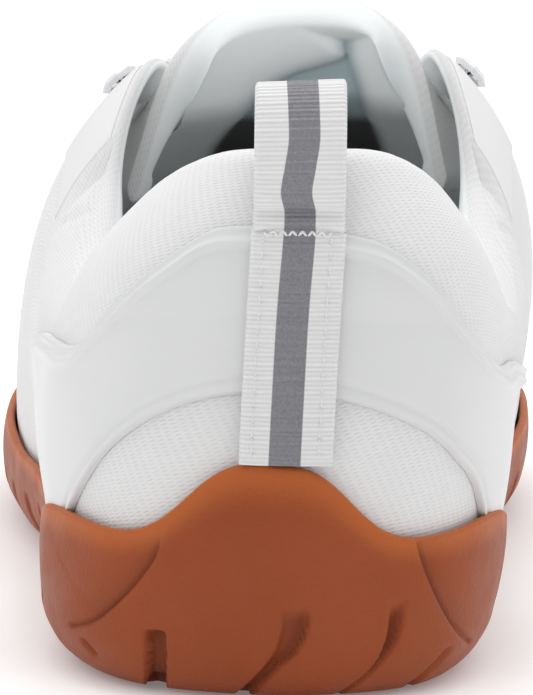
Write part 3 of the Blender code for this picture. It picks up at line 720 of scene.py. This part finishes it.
def make_insole(material):
    """Thin footbed that follows the foot of the wall inside."""
    inside = WALL + 5 * GAP
    u = heel_columns(8, 8, 3)
    level = level_at_height(u, plain_skin(u, 0.0)[:, 2] + INSOLE_THICKNESS, -inside)
    low = plain_skin(u, 0.0) - flat_outward(u) * inside
    high = skin(u, level, -inside)
    lift = SOLE_THICKNESS + GAP
    under = plate_rows(low, u, lift, spread(0.0, 1.0, 6))
    over = plate_rows(high, u, lift + INSOLE_THICKNESS, spread(1.0, 0.0, 14))
    mesh = grid_mesh("footbed", np.concatenate([under, over]), True, False)
    show(mesh, material, "black_foam", "insole")


def tongue_row(station, count):
    """One row across the tongue, tucked under both edges of the throat."""
    clear = WALL + TONGUE_THICKNESS / 2 + TONGUE_GAP
    sides = []
    for u, order in ((station, 1), (TURN - station, -1)):
        level = np.array([TONGUE_TUCK, TONGUE_SHOULDER])
        pair = skin(u, level) - outward_normal(u, level) * clear
        sides.append(pair[::order])
    points = np.concatenate([sides[0], [(sides[0][1] + sides[1][0]) / 2], sides[1]])
    return smooth(np.arange(5), points, spread(0, 4, count))


# Lower edges of the two padded lobes inside the tongue, from their crease down, as seen from
# behind: places across and up, in metres
LEFT_LOBE = (
    (0.0098, 0.1080), (0.0101, 0.0985), (0.0102, 0.0935), (0.0058, 0.0916), (0.0006, 0.0898),
    (-0.0047, 0.0865), (-0.0091, 0.0817), (-0.0127, 0.0766), (-0.0165, 0.0690),
)
RIGHT_LOBE = (
    (0.0100, 0.1080), (0.0103, 0.0985), (0.0106, 0.0935), (0.0130, 0.0867), (0.0152, 0.0819),
    (0.0175, 0.0768), (0.0198, 0.0717), (0.0220, 0.0640),
)

# Columns of the tongue's mesh, the shape of its top, the rounds of softening from a row on, and
# its lobes and gathered band
TONGUE_COLUMNS = 141
TONGUE_START = 8.0
TONGUE_CROWN = 1.6
TONGUE_TOP = 0.0184
SOFT_FROM = 28
SOFT_ACROSS = 36
SOFT_ALONG = 14
LOBE_PADDING = 0.0034
LOBE_ROUND = 0.0120
BAND_HEIGHT = 0.0007
GATHER_PITCH = 0.0027


def soften(rows, across, along):
    """Round off a grid's bends by averaging neighbours, its borders kept."""
    for _ in range(across):
        rows[:, 1:-1] = (rows[:, :-2] + 2 * rows[:, 1:-1] + rows[:, 2:]) / 4
    for _ in range(along):
        rows[1:-1] = (rows[:-2] + 2 * rows[1:-1] + rows[2:]) / 4
    return rows


def lobe_padding(x, z):
    """Thickness of the two lobes: rounded down to their lower edges and to the crease between."""
    left, left_side, _ = line_distance(x, z, curve_path(LEFT_LOBE, 40))
    right, right_side, _ = line_distance(x, z, curve_path(RIGHT_LOBE, 40))
    wedge = (left_side > 0) & (right_side < 0)
    share = np.where(wedge, 0.0, np.clip(np.minimum(left, right) / LOBE_ROUND, 0.0, 1.0))
    share = np.maximum(share, ramp(z, 0.0960, 0.1015))
    return LOBE_PADDING * np.sqrt(share * (2 - share))


def make_tongue(material):
    """Padded tongue with two lobes inside, from under the vamp to above the eyestay."""
    clear = WALL + TONGUE_THICKNESS / 2 + TONGUE_GAP
    front = spread(TONGUE_START, TURN - TONGUE_START, TONGUE_COLUMNS)
    rows = [skin(front, TONGUE_FRONT) - outward_normal(front, TONGUE_FRONT) * clear]
    for station in spread(7.5, 5.2, 70):
        rows.append(tongue_row(station, TONGUE_COLUMNS))
    across = spread(-1, 1, TONGUE_COLUMNS)
    shoulder = rows[-1]
    crown = np.cos(across * np.pi / 2) ** TONGUE_CROWN
    for share in spread(0.03, 1.0, 44):
        row = shoulder.copy()
        row[:, 0] = shoulder[:, 0] * (1 - TONGUE_TAPER * share ** 0.5)
        row[:, 1] -= TONGUE_LEAN * share
        row[:, 2] += TONGUE_TOP * share * crown
        rows.append(row)
    middle = np.array(rows)
    middle[SOFT_FROM:] = soften(middle[SOFT_FROM:].copy(), SOFT_ACROSS, SOFT_ALONG)
    normal = grid_normals(middle, False)
    place = np.arange(len(middle))[:, None]
    aside = from_ends(TONGUE_COLUMNS)[None, :]
    inward = np.minimum(from_ends(len(middle))[:, None], aside)
    half = TONGUE_THICKNESS / 2 * np.sqrt(ramp(inward, -0.5, 5.0))
    lobes = lobe_padding(middle[..., 0], middle[..., 2])
    padding = lobes * ramp(aside, 4.0, 34.0)
    padding = padding * np.sqrt(ramp(place[::-1], -0.5, 9.0)) * ramp(place, 8, 30)
    run = np.linalg.norm(np.diff(middle[:, 5], axis=0), axis=1)
    run = np.concatenate([[0.0], np.cumsum(run)])[:, None]
    band = ramp(aside, 0.5, 2.5) * (1 - ramp(aside, 6.0, 8.5))
    padding = padding + BAND_HEIGHT * band * (1 + 0.35 * np.sin(2 * np.pi * run / GATHER_PITCH))
    rows = sheet(middle, normal, half, half + padding)
    # Painted shade: where the lobes' padding runs out, in the recess between and below them, the tongue's
    # inner face is marked to be painted bluish grey.
    bare = 1 - ramp(lobes, 0.0002, 0.0024)
    # Painted shade: the tongue's inner face low in the bare wedge between the lobes, and its front rows
    # under the vamp, are marked to be painted near black.
    deep = np.maximum(bare * (1 - ramp(middle[..., 2], 0.0820, 0.0845)), 1 - ramp(place, 8, 16))
    masks = {
        "lining": np.concatenate([0.0 * half, 1.0 + 0.0 * half]),
        "painted_deep_shade": np.concatenate([0.0 * half, deep[::-1]]),
        "shade": np.concatenate([0.0 * half, bare[::-1]]),
    }
    mesh = grid_mesh("tongue_textile", rows, False, True, masks)
    show(mesh, material, "white_textile", "tongue")


# Levels of the gussets and their stations at the wall and at the tongue
GUSSET_LEVELS = (0.60, 0.965)
GUSSET_AT_WALL = 4.70
GUSSET_AT_TONGUE = 5.16


def make_gussets(material):
    """Cloth between the collar's inside and the tongue, just behind the throat's edges."""
    meshes = []
    level = spread(*GUSSET_LEVELS, 40)
    places = (GUSSET_AT_WALL, GUSSET_AT_TONGUE), (TURN - GUSSET_AT_WALL, TURN - GUSSET_AT_TONGUE)
    for at_wall, at_tongue in places:
        wall_edge = skin(at_wall, level, -wall(at_wall, level) - 0.0002)
        tongue_edge = skin(at_tongue, level, -WALL - TONGUE_GAP - TONGUE_THICKNESS / 2)
        share = spread(0.0, 1.0, 14)[:, None, None]
        front = wall_edge + (tongue_edge - wall_edge) * share
        front[..., 1] += 0.0016 * np.sin(np.pi * share[..., 0])
        back = front + np.array((0.0, 0.0006, 0.0))
        meshes.append(grid_mesh("gusset", patch(front, back), False, True))
    show(join_meshes("tongue_gussets", meshes), material, "white_textile")


# Middle of the webbing's grey stripe, across its width from -0.5 to 0.5, by height in metres
STRIPE_MIDDLE = (
    (0.034, -0.018), (0.0455, -0.016), (0.0600, -0.012), (0.0709, 0.006), (0.0732, 0.004),
    (0.0759, -0.038), (0.0795, 0.0), (0.0832, 0.040), (0.0870, 0.034), (0.0920, 0.014),
)
STRIPE_HALF = 0.170
WEBBING_WIDTH = 0.0134
WEBBING_COLUMNS = 73
HEEL_ROWS = 130
LOOP_ROWS = 150
LOOP_TILT = 0.05
FOLD_HEIGHT = 0.0729
TACK_HEIGHT = 0.0707

# Seams of the webbing as shares of its width, their stitches, and the bar of zigzag thread
SEAM_ACROSS = (-0.345, 0.375)
STITCH_PITCH = 0.0022
STITCH_LENGTH = 0.0017
STITCH_RADIUS = 0.00013
BAR_POINTS = 15
BAR_SWING = 0.00034
BAR_RADIUS = 0.00021


def webbing_middle(count_low, count_loop, across):
    """Middle surface of the webbing: up the heel, then round the loop."""
    off = FILM_LIFT + OVERLAY + GAP + LOOP_THICKNESS / 2
    heel = np.array([0.0])
    start = level_at_height(heel, cup_height(heel) + 2 * GAP)[0]
    end = level_at_height(heel, np.array([LOOP_FOOT * HEEL_HEIGHT]))[0]
    rows = []
    for t in spread(start, end, count_low):
        speed = np.linalg.norm(skin(0.05, t, off) - skin(-0.05, t, off)) / 0.1
        rows.append(skin(across[::-1] / speed, t, off))
    foot = rows[-1].mean(axis=0)
    shape = np.array(((0.0, 0.0),) + LOOP_SHAPE)
    for forward, up in smooth(np.arange(len(shape)), shape, spread(0.1, len(shape) - 1, count_loop)):
        row = np.zeros((len(across), 3))
        row[:, 0] = foot[0] + across
        row[:, 1] = foot[1] + forward * LOOP_DEPTH
        row[:, 2] = foot[2] + up * (LOOP_HEIGHT + LOOP_TILT * across)
        rows.append(row)
    return np.array(rows)


def make_webbing(material):
    """Ribbed webbing sewn up the heel and folded into a loop over the collar."""
    share = spread(-0.5, 0.5, WEBBING_COLUMNS)
    middle = webbing_middle(HEEL_ROWS, LOOP_ROWS, share * WEBBING_WIDTH)
    height = middle[..., 2]
    normal = grid_normals(middle, False)
    rear = normal * -np.sign(normal[HEEL_ROWS // 3, WEBBING_COLUMNS // 2, 1])
    bulge = 0.0011 * hump(height, FOLD_HEIGHT + 0.0036, 0.0034) - 0.0010 * hump(height, FOLD_HEIGHT, 0.0007)
    bulge = bulge * (np.arange(len(middle)) < HEEL_ROWS + 60)[:, None]
    middle = middle + rear * (bulge * (1 - 0.5 * np.abs(2 * share) ** 3))[..., None]
    half = LOOP_THICKNESS / 2 * np.sqrt(ramp(from_ends(WEBBING_COLUMNS), -0.5, 3.0)) * (1.0 + 0.0 * height)
    half = half + 0.00008 * np.sin(2 * np.pi * np.arange(len(middle)) / 4.0)[:, None]
    rows = sheet(middle, normal, half, half)
    stripe = np.abs(share[None, :] - read_table(STRIPE_MIDDLE, height.mean(axis=1))[:, None])
    inside = (STRIPE_HALF - stripe) * WEBBING_WIDTH * 1000
    masks = {"stripe": np.concatenate([inside, inside[::-1]])}
    mesh = grid_mesh("webbing", rows, False, True, masks)
    show(mesh, material, "white_textile", "pull_loop")


def thread_run(points, normal):
    """Short stitches along a line: each rises from the cloth, lies on it and dips back in."""
    steps = np.linalg.norm(np.diff(points, axis=0), axis=1)
    run = np.concatenate([[0.0], np.cumsum(steps)])
    arch = 0.00012 * np.array((-0.6, 0.5, 0.9, 1.0, 0.9, 0.5, -0.6))
    meshes = []
    for start in np.arange(STITCH_PITCH / 2, run[-1] - STITCH_LENGTH, STITCH_PITCH):
        at = start + STITCH_LENGTH * spread(0.0, 1.0, 7)
        place = np.stack([np.interp(at, run, points[:, k]) for k in range(3)], -1)
        meshes.append(tube(place + normal * arch[:, None], STITCH_RADIUS, 8))
    return meshes


def make_webbing_stitches(material):
    """Two rows of stitches up the webbing and a bar of zigzag thread under its fold."""
    across = np.array([SEAM_ACROSS[0], 0.0, SEAM_ACROSS[1]]) * WEBBING_WIDTH
    middle = webbing_middle(HEEL_ROWS, 4, across)[:HEEL_ROWS - 2]
    rear = unit(skin(0.0, 0.5, 0.001) - skin(0.0, 0.5, 0.0))
    meshes = []
    for column in (0, 2):
        line = middle[:, column] + rear * LOOP_THICKNESS / 2
        meshes += thread_run(line[line[:, 2] < TACK_HEIGHT], rear)
    row = int(np.argmin(np.abs(middle[:, 1, 2] - TACK_HEIGHT)))
    start, end = middle[row, 0], middle[row, 2]
    zigzag = [start + (end - start) * k / (BAR_POINTS - 1) + rear * (LOOP_THICKNESS / 2 + 0.00022)
              + np.array((0.0, 0.0, BAR_SWING * (-1) ** k)) for k in range(BAR_POINTS)]
    meshes.append(tube(curve_path(zigzag, 90), BAR_RADIUS, 8))
    show(join_meshes("webbing_stitches", meshes), material, "white_textile")


def eyelet_place(station, side, lift):
    """Centre of an eyelet above the eyestay, with the surface's normal there."""
    u = station if side < 0 else TURN - station
    return skin(u, EYELET_LEVEL, 2 * GAP + OVERLAY + lift), outward_normal(u, EYELET_LEVEL)


# Heights of the lace over the throat, its dip into an eyelet and its bend there
LACE_MIDDLE_RISE = 0.0046
LACE_SIDE_RISE = 0.0034
LACE_DIP = 0.0004
LACE_BEND = 0.0012
LACE_OVERLAP = 0.0011


def lace_path(start, start_normal, end, end_normal):
    """A lace from under one eyelet's edge, over the throat and down through another."""
    span = end - start
    up = np.array((0.0, 0.0, 1.0))
    points = (
        start - start_normal * LACE_DIP,
        start + start_normal * LACE_BEND + span * 0.04,
        start + span * 0.25 + up * LACE_SIDE_RISE + start_normal * 0.0008,
        start + span * 0.5 + up * LACE_MIDDLE_RISE,
        start + span * 0.75 + up * LACE_SIDE_RISE + end_normal * 0.0008,
        end + end_normal * LACE_BEND - span * 0.04,
        end - end_normal * LACE_DIP,
    )
    return curve_path(points, 60)


def tube(path, radius, sides, flat=1.0):
    """A tube round a path, each ring square to it and flattened if need be."""
    tangent = unit(np.gradient(path, axis=0))
    aside = unit(np.cross(tangent, np.array((0.0, 0.0, 1.0))))
    above = np.cross(aside, tangent)
    angle = spread(0.0, 2 * np.pi, sides + 1)[:-1]
    ring = (aside[:, None] * np.cos(angle)[None, :, None]
            + above[:, None] * flat * np.sin(angle)[None, :, None])
    size = radius * np.sqrt(ramp(from_ends(len(path)), -0.5, 2.0))
    rows = path[:, None] + ring * size[:, None, None]
    return grid_mesh("tube", rows.transpose(1, 0, 2), False, True)


def join_meshes(name, meshes):
    """One mesh from several."""
    work = bmesh.new()
    for mesh in meshes:
        work.from_mesh(mesh)
        bpy.data.meshes.remove(mesh)
    joined = bpy.data.meshes.new(name)
    work.to_mesh(joined)
    work.free()
    return joined


def make_lace(material):
    """Lace: one bar at the front, a crossing between each two pairs, ends at the top eyelets."""
    left, right = [[eyelet_place(station, side, EYELET_WIRE) for station in EYELET_STATIONS]
                   for side in (-1, 1)]
    runs = [(left[-1], right[-1])]
    for k in range(len(left) - 1):
        runs.append((left[k], right[k + 1]))
        runs.append((right[k], left[k + 1]))
    meshes = []
    for number, (start, end) in enumerate(runs):
        path = lace_path(start[0], start[1], end[0], end[1])
        path[:, 2] += LACE_OVERLAP * (number % 2) * np.sin(spread(0, np.pi, len(path))) ** 2
        meshes.append(tube(path, LACE_RADIUS * 1.15, 16, 0.72))
    show(join_meshes("lace_cord", meshes), material, "white_textile", "lace")


FLOOR_HALF = 40.0


def make_stage(material):
    """Plain pale floor."""
    mesh = bpy.data.meshes.new("floor")
    corners = [(x * FLOOR_HALF, y * FLOOR_HALF, 0) for x, y in ((-1, -1), (1, -1), (1, 1), (-1, 1))]
    mesh.from_pydata(corners, [], [(0, 1, 2, 3)])
    floor = bpy.data.objects.new("floor", mesh)
    bpy.context.scene.collection.objects.link(floor)
    mesh.materials.append(material)


def area_light(name, place, target, size, watts):
    """A soft square light aimed at a point."""
    light = bpy.data.lights.new(name, "AREA")
    light.size = size
    light.energy = watts
    holder = bpy.data.objects.new(name, light)
    holder.location = place
    aim = Vector(target) - Vector(place)
    holder.rotation_euler = aim.to_track_quat("-Z", "Y").to_euler()
    bpy.context.scene.collection.objects.link(holder)


# Brightness of the sky and power of the two lights
SKY_AT_HORIZON = 0.5
SKY_OVERHEAD = 1.6
SKY_BEHIND = 0.45
KEY_WATTS = 0.7
INSIDE_WATTS = 0.045


def make_lights():
    """White sky, brighter overhead and dimmer behind the camera, and two soft lights."""
    world = bpy.data.worlds.new("studio")
    world.use_nodes = True
    bpy.context.scene.world = world
    sky = Nodes(world.node_tree)
    direction = sky.add("TexCoord", "Generated", {})
    height = sky.add("SeparateXYZ", "Z", {"Vector": direction})
    overhead = sky.level(height, 0.0, 1.0, SKY_AT_HORIZON, SKY_OVERHEAD)
    behind = sky.level(height.node.outputs["Y"], -1.0, -0.1, SKY_BEHIND, 1.0)
    background = sky.tree.nodes["Background"]
    background.inputs["Color"].default_value = (1.0, 1.0, 1.0, 1.0)
    sky.put(background.inputs["Strength"], sky.maths("MULTIPLY", overhead, behind))
    area_light("key", (-0.5, -0.9, 0.7), (0, 0.05, 0.04), 0.6, KEY_WATTS)
    area_light("inside", (0.0, -0.03, 0.21), (0, 0.08, 0.075), 0.08, INSIDE_WATTS)


def make_camera():
    """Camera behind the heel, a little above it, at the photograph's angle."""
    camera = bpy.data.cameras.new("camera")
    camera.sensor_width = SENSOR
    camera.lens = FOCAL_PIXELS / PICTURE_HEIGHT * SENSOR
    camera.clip_start = 0.01
    holder = bpy.data.objects.new("camera", camera)
    sin_pan, cos_pan = math.sin(CAMERA_PAN), math.cos(CAMERA_PAN)
    sin_tilt, cos_tilt = math.sin(CAMERA_TILT), math.cos(CAMERA_TILT)
    forward = Vector((sin_pan * cos_tilt, cos_pan * cos_tilt, sin_tilt))
    level = Vector((cos_pan, -sin_pan, 0.0))
    above = level.cross(forward)
    right = level * math.cos(CAMERA_ROLL) + above * math.sin(CAMERA_ROLL)
    up = above * math.cos(CAMERA_ROLL) - level * math.sin(CAMERA_ROLL)
    turn = Matrix((right, up, -forward)).transposed()
    holder.matrix_world = Matrix.Translation(CAMERA_PLACE) @ turn.to_4x4()
    bpy.context.scene.collection.objects.link(holder)
    bpy.context.scene.camera = holder


class Nodes:
    """Short ways to add nodes to a tree."""

    def __init__(self, tree):
        self.tree = tree

    def put(self, socket, value):
        """Link an output to a socket, or set the socket to a value."""
        if isinstance(value, bpy.types.NodeSocket):
            self.tree.links.new(value, socket)
        else:
            socket.default_value = value

    def add(self, kind, output, inputs, **settings):
        """Add a node with its settings and inputs, and give one of its outputs."""
        made = self.tree.nodes.new("ShaderNode" + kind)
        for key, value in settings.items():
            setattr(made, key, value)
        for key, value in inputs.items():
            self.put(made.inputs[key], value)
        return made.outputs[output]

    def maths(self, operation, first, second):
        return self.add("Math", 0, {0: first, 1: second}, operation=operation)

    def level(self, value, low, high, new_low, new_high):
        """A value moved from one range to another and held inside it."""
        return self.add("MapRange", "Result", {"Value": value, "From Min": low, "From Max": high,
                                               "To Min": new_low, "To Max": new_high})


def rgba(colour):
    """A colour for a socket: a number stands for a grey, and an output stays as it is."""
    if isinstance(colour, bpy.types.NodeSocket):
        return colour
    if isinstance(colour, float):
        colour = (colour,) * 3
    return (*colour, 1.0)


class Finish(Nodes):
    """A Principled material with its constants, on the object's place and the cloth's lengths."""

    def __init__(self, name, constants):
        self.material = bpy.data.materials.new(name)
        self.material.use_nodes = True
        super().__init__(self.material.node_tree)
        self.shader = self.tree.nodes["Principled BSDF"]
        for key, value in constants.items():
            self.shader.inputs[key].default_value = value
        self.place = self.add("TexCoord", "Object", {})
        self.cloth = self.add("UVMap", "UV", {}, uv_map="cloth")

    def noise(self, scale, detail=3.0):
        return self.add("TexNoise", "Fac", {"Vector": self.place, "Scale": scale, "Detail": detail,
                                            "Roughness": 0.55})

    def waves(self, pitch, angle=0.0, direction="X"):
        """Bands on the cloth, turned by an angle in degrees, one for each pitch in metres."""
        turned = self.add("Mapping", "Vector", {"Vector": self.cloth,
                                                "Rotation": (0.0, 0.0, math.radians(angle))})
        return self.add("TexWave", "Fac", {"Vector": turned, "Scale": math.pi / (10.0 * pitch)},
                        bands_direction=direction)

    def mask(self, name):
        return self.add("Attribute", "Fac", {}, attribute_name=name)

    def steps(self, value, low, high, first, second):
        """Colours that go from the first to the second as a value goes from low to high."""
        colours = self.add("ValToRGB", "Color", {"Fac": value})
        for element, place, colour in zip(colours.node.color_ramp.elements, (low, high), (first, second)):
            element.position = place
            element.color = rgba(colour)
        return colours

    def blend(self, share, first, second, kind="MIX"):
        return self.add("Mix", 2, {0: share, 6: rgba(first), 7: rgba(second)},
                        data_type="RGBA", blend_type=kind)

    def bump(self, height, distance, strength=1.0):
        return self.add("Bump", "Normal", {"Height": height, "Distance": distance, "Strength": strength})

    def finish(self, colour, normal, roughness=None):
        """Link colour, normal and roughness to the shader."""
        self.put(self.shader.inputs["Base Color"], colour)
        self.put(self.shader.inputs["Normal"], normal)
        if roughness:
            self.put(self.shader.inputs["Roughness"], roughness)
        return self.material


def white_textile():
    """White mesh textile with fine slanting ribs, softer in its lining; the lining carries painted
    bluish-grey shade in the tongue's recess between its lobes and painted near-black shade deep inside the
    shoe.
    """
    f = Finish("white_textile_mesh", {"Roughness": 0.85, "Sheen Weight": 0.25, "Sheen Roughness": 0.5})
    rows = f.waves(0.00056, 7.0, "Y")
    slants = f.waves(0.00060, -58.0)
    outside = f.level(f.mask("lining"), 0.0, 1.0, 1.0, 0.0)
    pores = f.maths("MULTIPLY", f.maths("MULTIPLY", rows, slants), outside)
    shade = f.steps(f.noise(24.0, 4.0), 0.3, 0.7, 0.74, 0.78)
    lining = f.blend(f.mask("lining"), shade, (0.86, 0.89, 0.90))
    # Painted shade: bluish grey in the tongue's recess between its lobes.
    lining = f.blend(f.mask("shade"), lining, (0.42, 0.52, 0.54))
    # Painted shade: near black deep inside the shoe.
    lining = f.blend(f.mask("painted_deep_shade"), lining, (0.012, 0.012, 0.014))
    dips = f.steps(pores, 0.25, 0.8, 1.0, (0.91, 0.91, 0.92))
    colour = f.blend(1.0, lining, dips, "MULTIPLY")
    height = f.maths("SUBTRACT", f.maths("MULTIPLY", f.noise(1500.0), 0.35), pores)
    return f.finish(colour, f.bump(height, 0.00006))


def white_film():
    """Smooth bonded film with a satin gloss and a faint grain, as white as the textile at its ends."""
    f = Finish("white_film_satin", {"Roughness": 0.42, "Coat Weight": 0.08, "Coat Roughness": 0.35})
    shade = f.steps(f.noise(18.0), 0.3, 0.7, (0.66, 0.665, 0.67), (0.70, 0.70, 0.705))
    shade = f.blend(f.mask("end"), shade, 0.76)
    rough = f.level(f.noise(60.0), 0.3, 0.7, 0.38, 0.5)
    return f.finish(shade, f.bump(f.noise(2600.0, 2.0), 0.00003, 0.5), rough)


def eyestay_film():
    """White soft-touch film of the eyestay, close to the textile's own white."""
    f = Finish("eyestay_film_matt", {"Roughness": 0.6})
    shade = f.steps(f.noise(22.0), 0.3, 0.7, (0.75, 0.75, 0.755), 0.78)
    return f.finish(shade, f.bump(f.noise(2200.0, 2.0), 0.00003, 0.5))


def gusset_cloth():
    """Light grey stretch cloth."""
    f = Finish("gusset_cloth", {"Roughness": 0.9})
    knit = f.waves(0.0006, 0.0, "Y")
    shade = f.steps(knit, 0.0, 0.8, (0.80, 0.81, 0.81), (0.87, 0.88, 0.88))
    return f.finish(shade, f.bump(knit, 0.00005))


def gum_rubber():
    """Translucent brown gum rubber with a pebbled skin, painted darker in its grooves and creases as shade.
    """
    f = Finish("gum_rubber_pebbled", {
        "Roughness": 0.5, "Specular IOR Level": 0.22, "Subsurface Weight": 0.10,
        "Subsurface Radius": (0.003, 0.0008, 0.0003), "Subsurface Scale": 0.3,
    })
    pebbles = f.add("TexVoronoi", "Distance", {"Vector": f.place, "Scale": 2300.0})
    body = f.steps(f.noise(35.0, 4.0), 0.3, 0.7, (0.265, 0.054, 0.013), (0.315, 0.067, 0.018))
    warm = f.blend(f.mask("edge"), body, (0.44, 0.108, 0.024))
    # Painted shade: the rubber darkened in its grooves and creases.
    colour = f.blend(f.maths("MULTIPLY", f.mask("hollow"), 0.45), warm, (0.12, 0.024, 0.008))
    grain = f.maths("ADD", pebbles, f.noise(900.0, 2.0))
    rough = f.level(f.noise(120.0), 0.3, 0.7, 0.42, 0.58)
    return f.finish(colour, f.bump(grain, 0.00008, 0.7), rough)


def black_foam():
    """Matt black footbed cloth."""
    f = Finish("black_footbed_cloth", {"Roughness": 0.95})
    fuzz = f.noise(1800.0)
    colour = f.steps(fuzz, 0.3, 0.7, (0.010, 0.010, 0.011), (0.024, 0.024, 0.026))
    return f.finish(colour, f.bump(fuzz, 0.0002))


def webbing_cloth():
    """White ribbed webbing with a grey reflective stripe down its middle."""
    f = Finish("webbing_grosgrain", {"Roughness": 0.75})
    ribs = f.waves(0.0007, 0.0, "Y")
    white = f.steps(ribs, 0.0, 0.5, (0.66, 0.66, 0.67), 0.76)
    specks = f.noise(3000.0, 2.0)
    grey = f.steps(specks, 0.3, 0.7, (0.17, 0.17, 0.19), (0.235, 0.235, 0.255))
    stripe = f.level(f.mask("stripe"), -0.06, 0.06, 0.0, 1.0)
    rough = f.level(stripe, 0.0, 1.0, 0.8, 0.45)
    height = f.maths("ADD", ribs, f.maths("MULTIPLY", specks, 0.4))
    return f.finish(f.blend(stripe, white, grey), f.bump(height, 0.00010), rough)


def sewing_thread():
    """White sewing thread, faintly twisted."""
    f = Finish("sewing_thread", {"Roughness": 0.7})
    twist = f.waves(0.0004, 30.0)
    return f.finish(f.steps(twist, 0.0, 0.8, (0.70, 0.70, 0.71), 0.84), f.bump(twist, 0.00004))


def white_enamel():
    """White painted metal of the eyelets, worn a little."""
    f = Finish("white_enamel_rings", {"Roughness": 0.35})
    colour = f.steps(f.noise(400.0, 4.0), 0.35, 0.7, (0.74, 0.75, 0.77), (0.82, 0.82, 0.83))
    return f.finish(colour, f.bump(f.noise(900.0), 0.00004, 0.5))


def lace_braid():
    """White braided lace."""
    f = Finish("lace_braid", {"Roughness": 0.85})
    braid = f.maths("MAXIMUM", f.waves(0.0009, 40.0), f.waves(0.0009, -40.0))
    colour = f.steps(braid, 0.2, 0.9, (0.70, 0.71, 0.72), 0.86)
    return f.finish(colour, f.bump(braid, 0.00025))


FLOOR_GLOW = 0.15


def studio_floor():
    """Plain pale floor, lit a little from below, very slightly uneven."""
    f = Finish("studio_floor", {"Roughness": 0.8, "Emission Color": (1.0, 1.0, 1.0, 1.0),
                                "Emission Strength": FLOOR_GLOW})
    colour = f.steps(f.noise(3.0, 2.0), 0.3, 0.7, 0.92, 0.94)
    return f.finish(colour, f.bump(f.noise(300.0), 0.0001, 0.1))


def main():
    """Camera, light, floor and all the pieces of the shoe."""
    make_camera()
    bpy.context.scene.view_settings.view_transform = "Standard"
    make_lights()
    make_stage(studio_floor())
    textile = white_textile()
    film = white_film()
    make_outsole(gum_rubber())
    make_upper(textile)
    make_insole(black_foam())
    make_tongue(textile)
    make_gussets(gusset_cloth())
    make_heel_film(film)
    make_eyestay(eyestay_film())
    make_webbing(webbing_cloth())
    make_webbing_stitches(sewing_thread())
    make_lace(lace_braid())
    enamel = white_enamel()
    for name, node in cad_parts.items():
        if name.startswith("eyelet"):
            node.data.materials.clear()
            node.data.materials.append(enamel)


main()
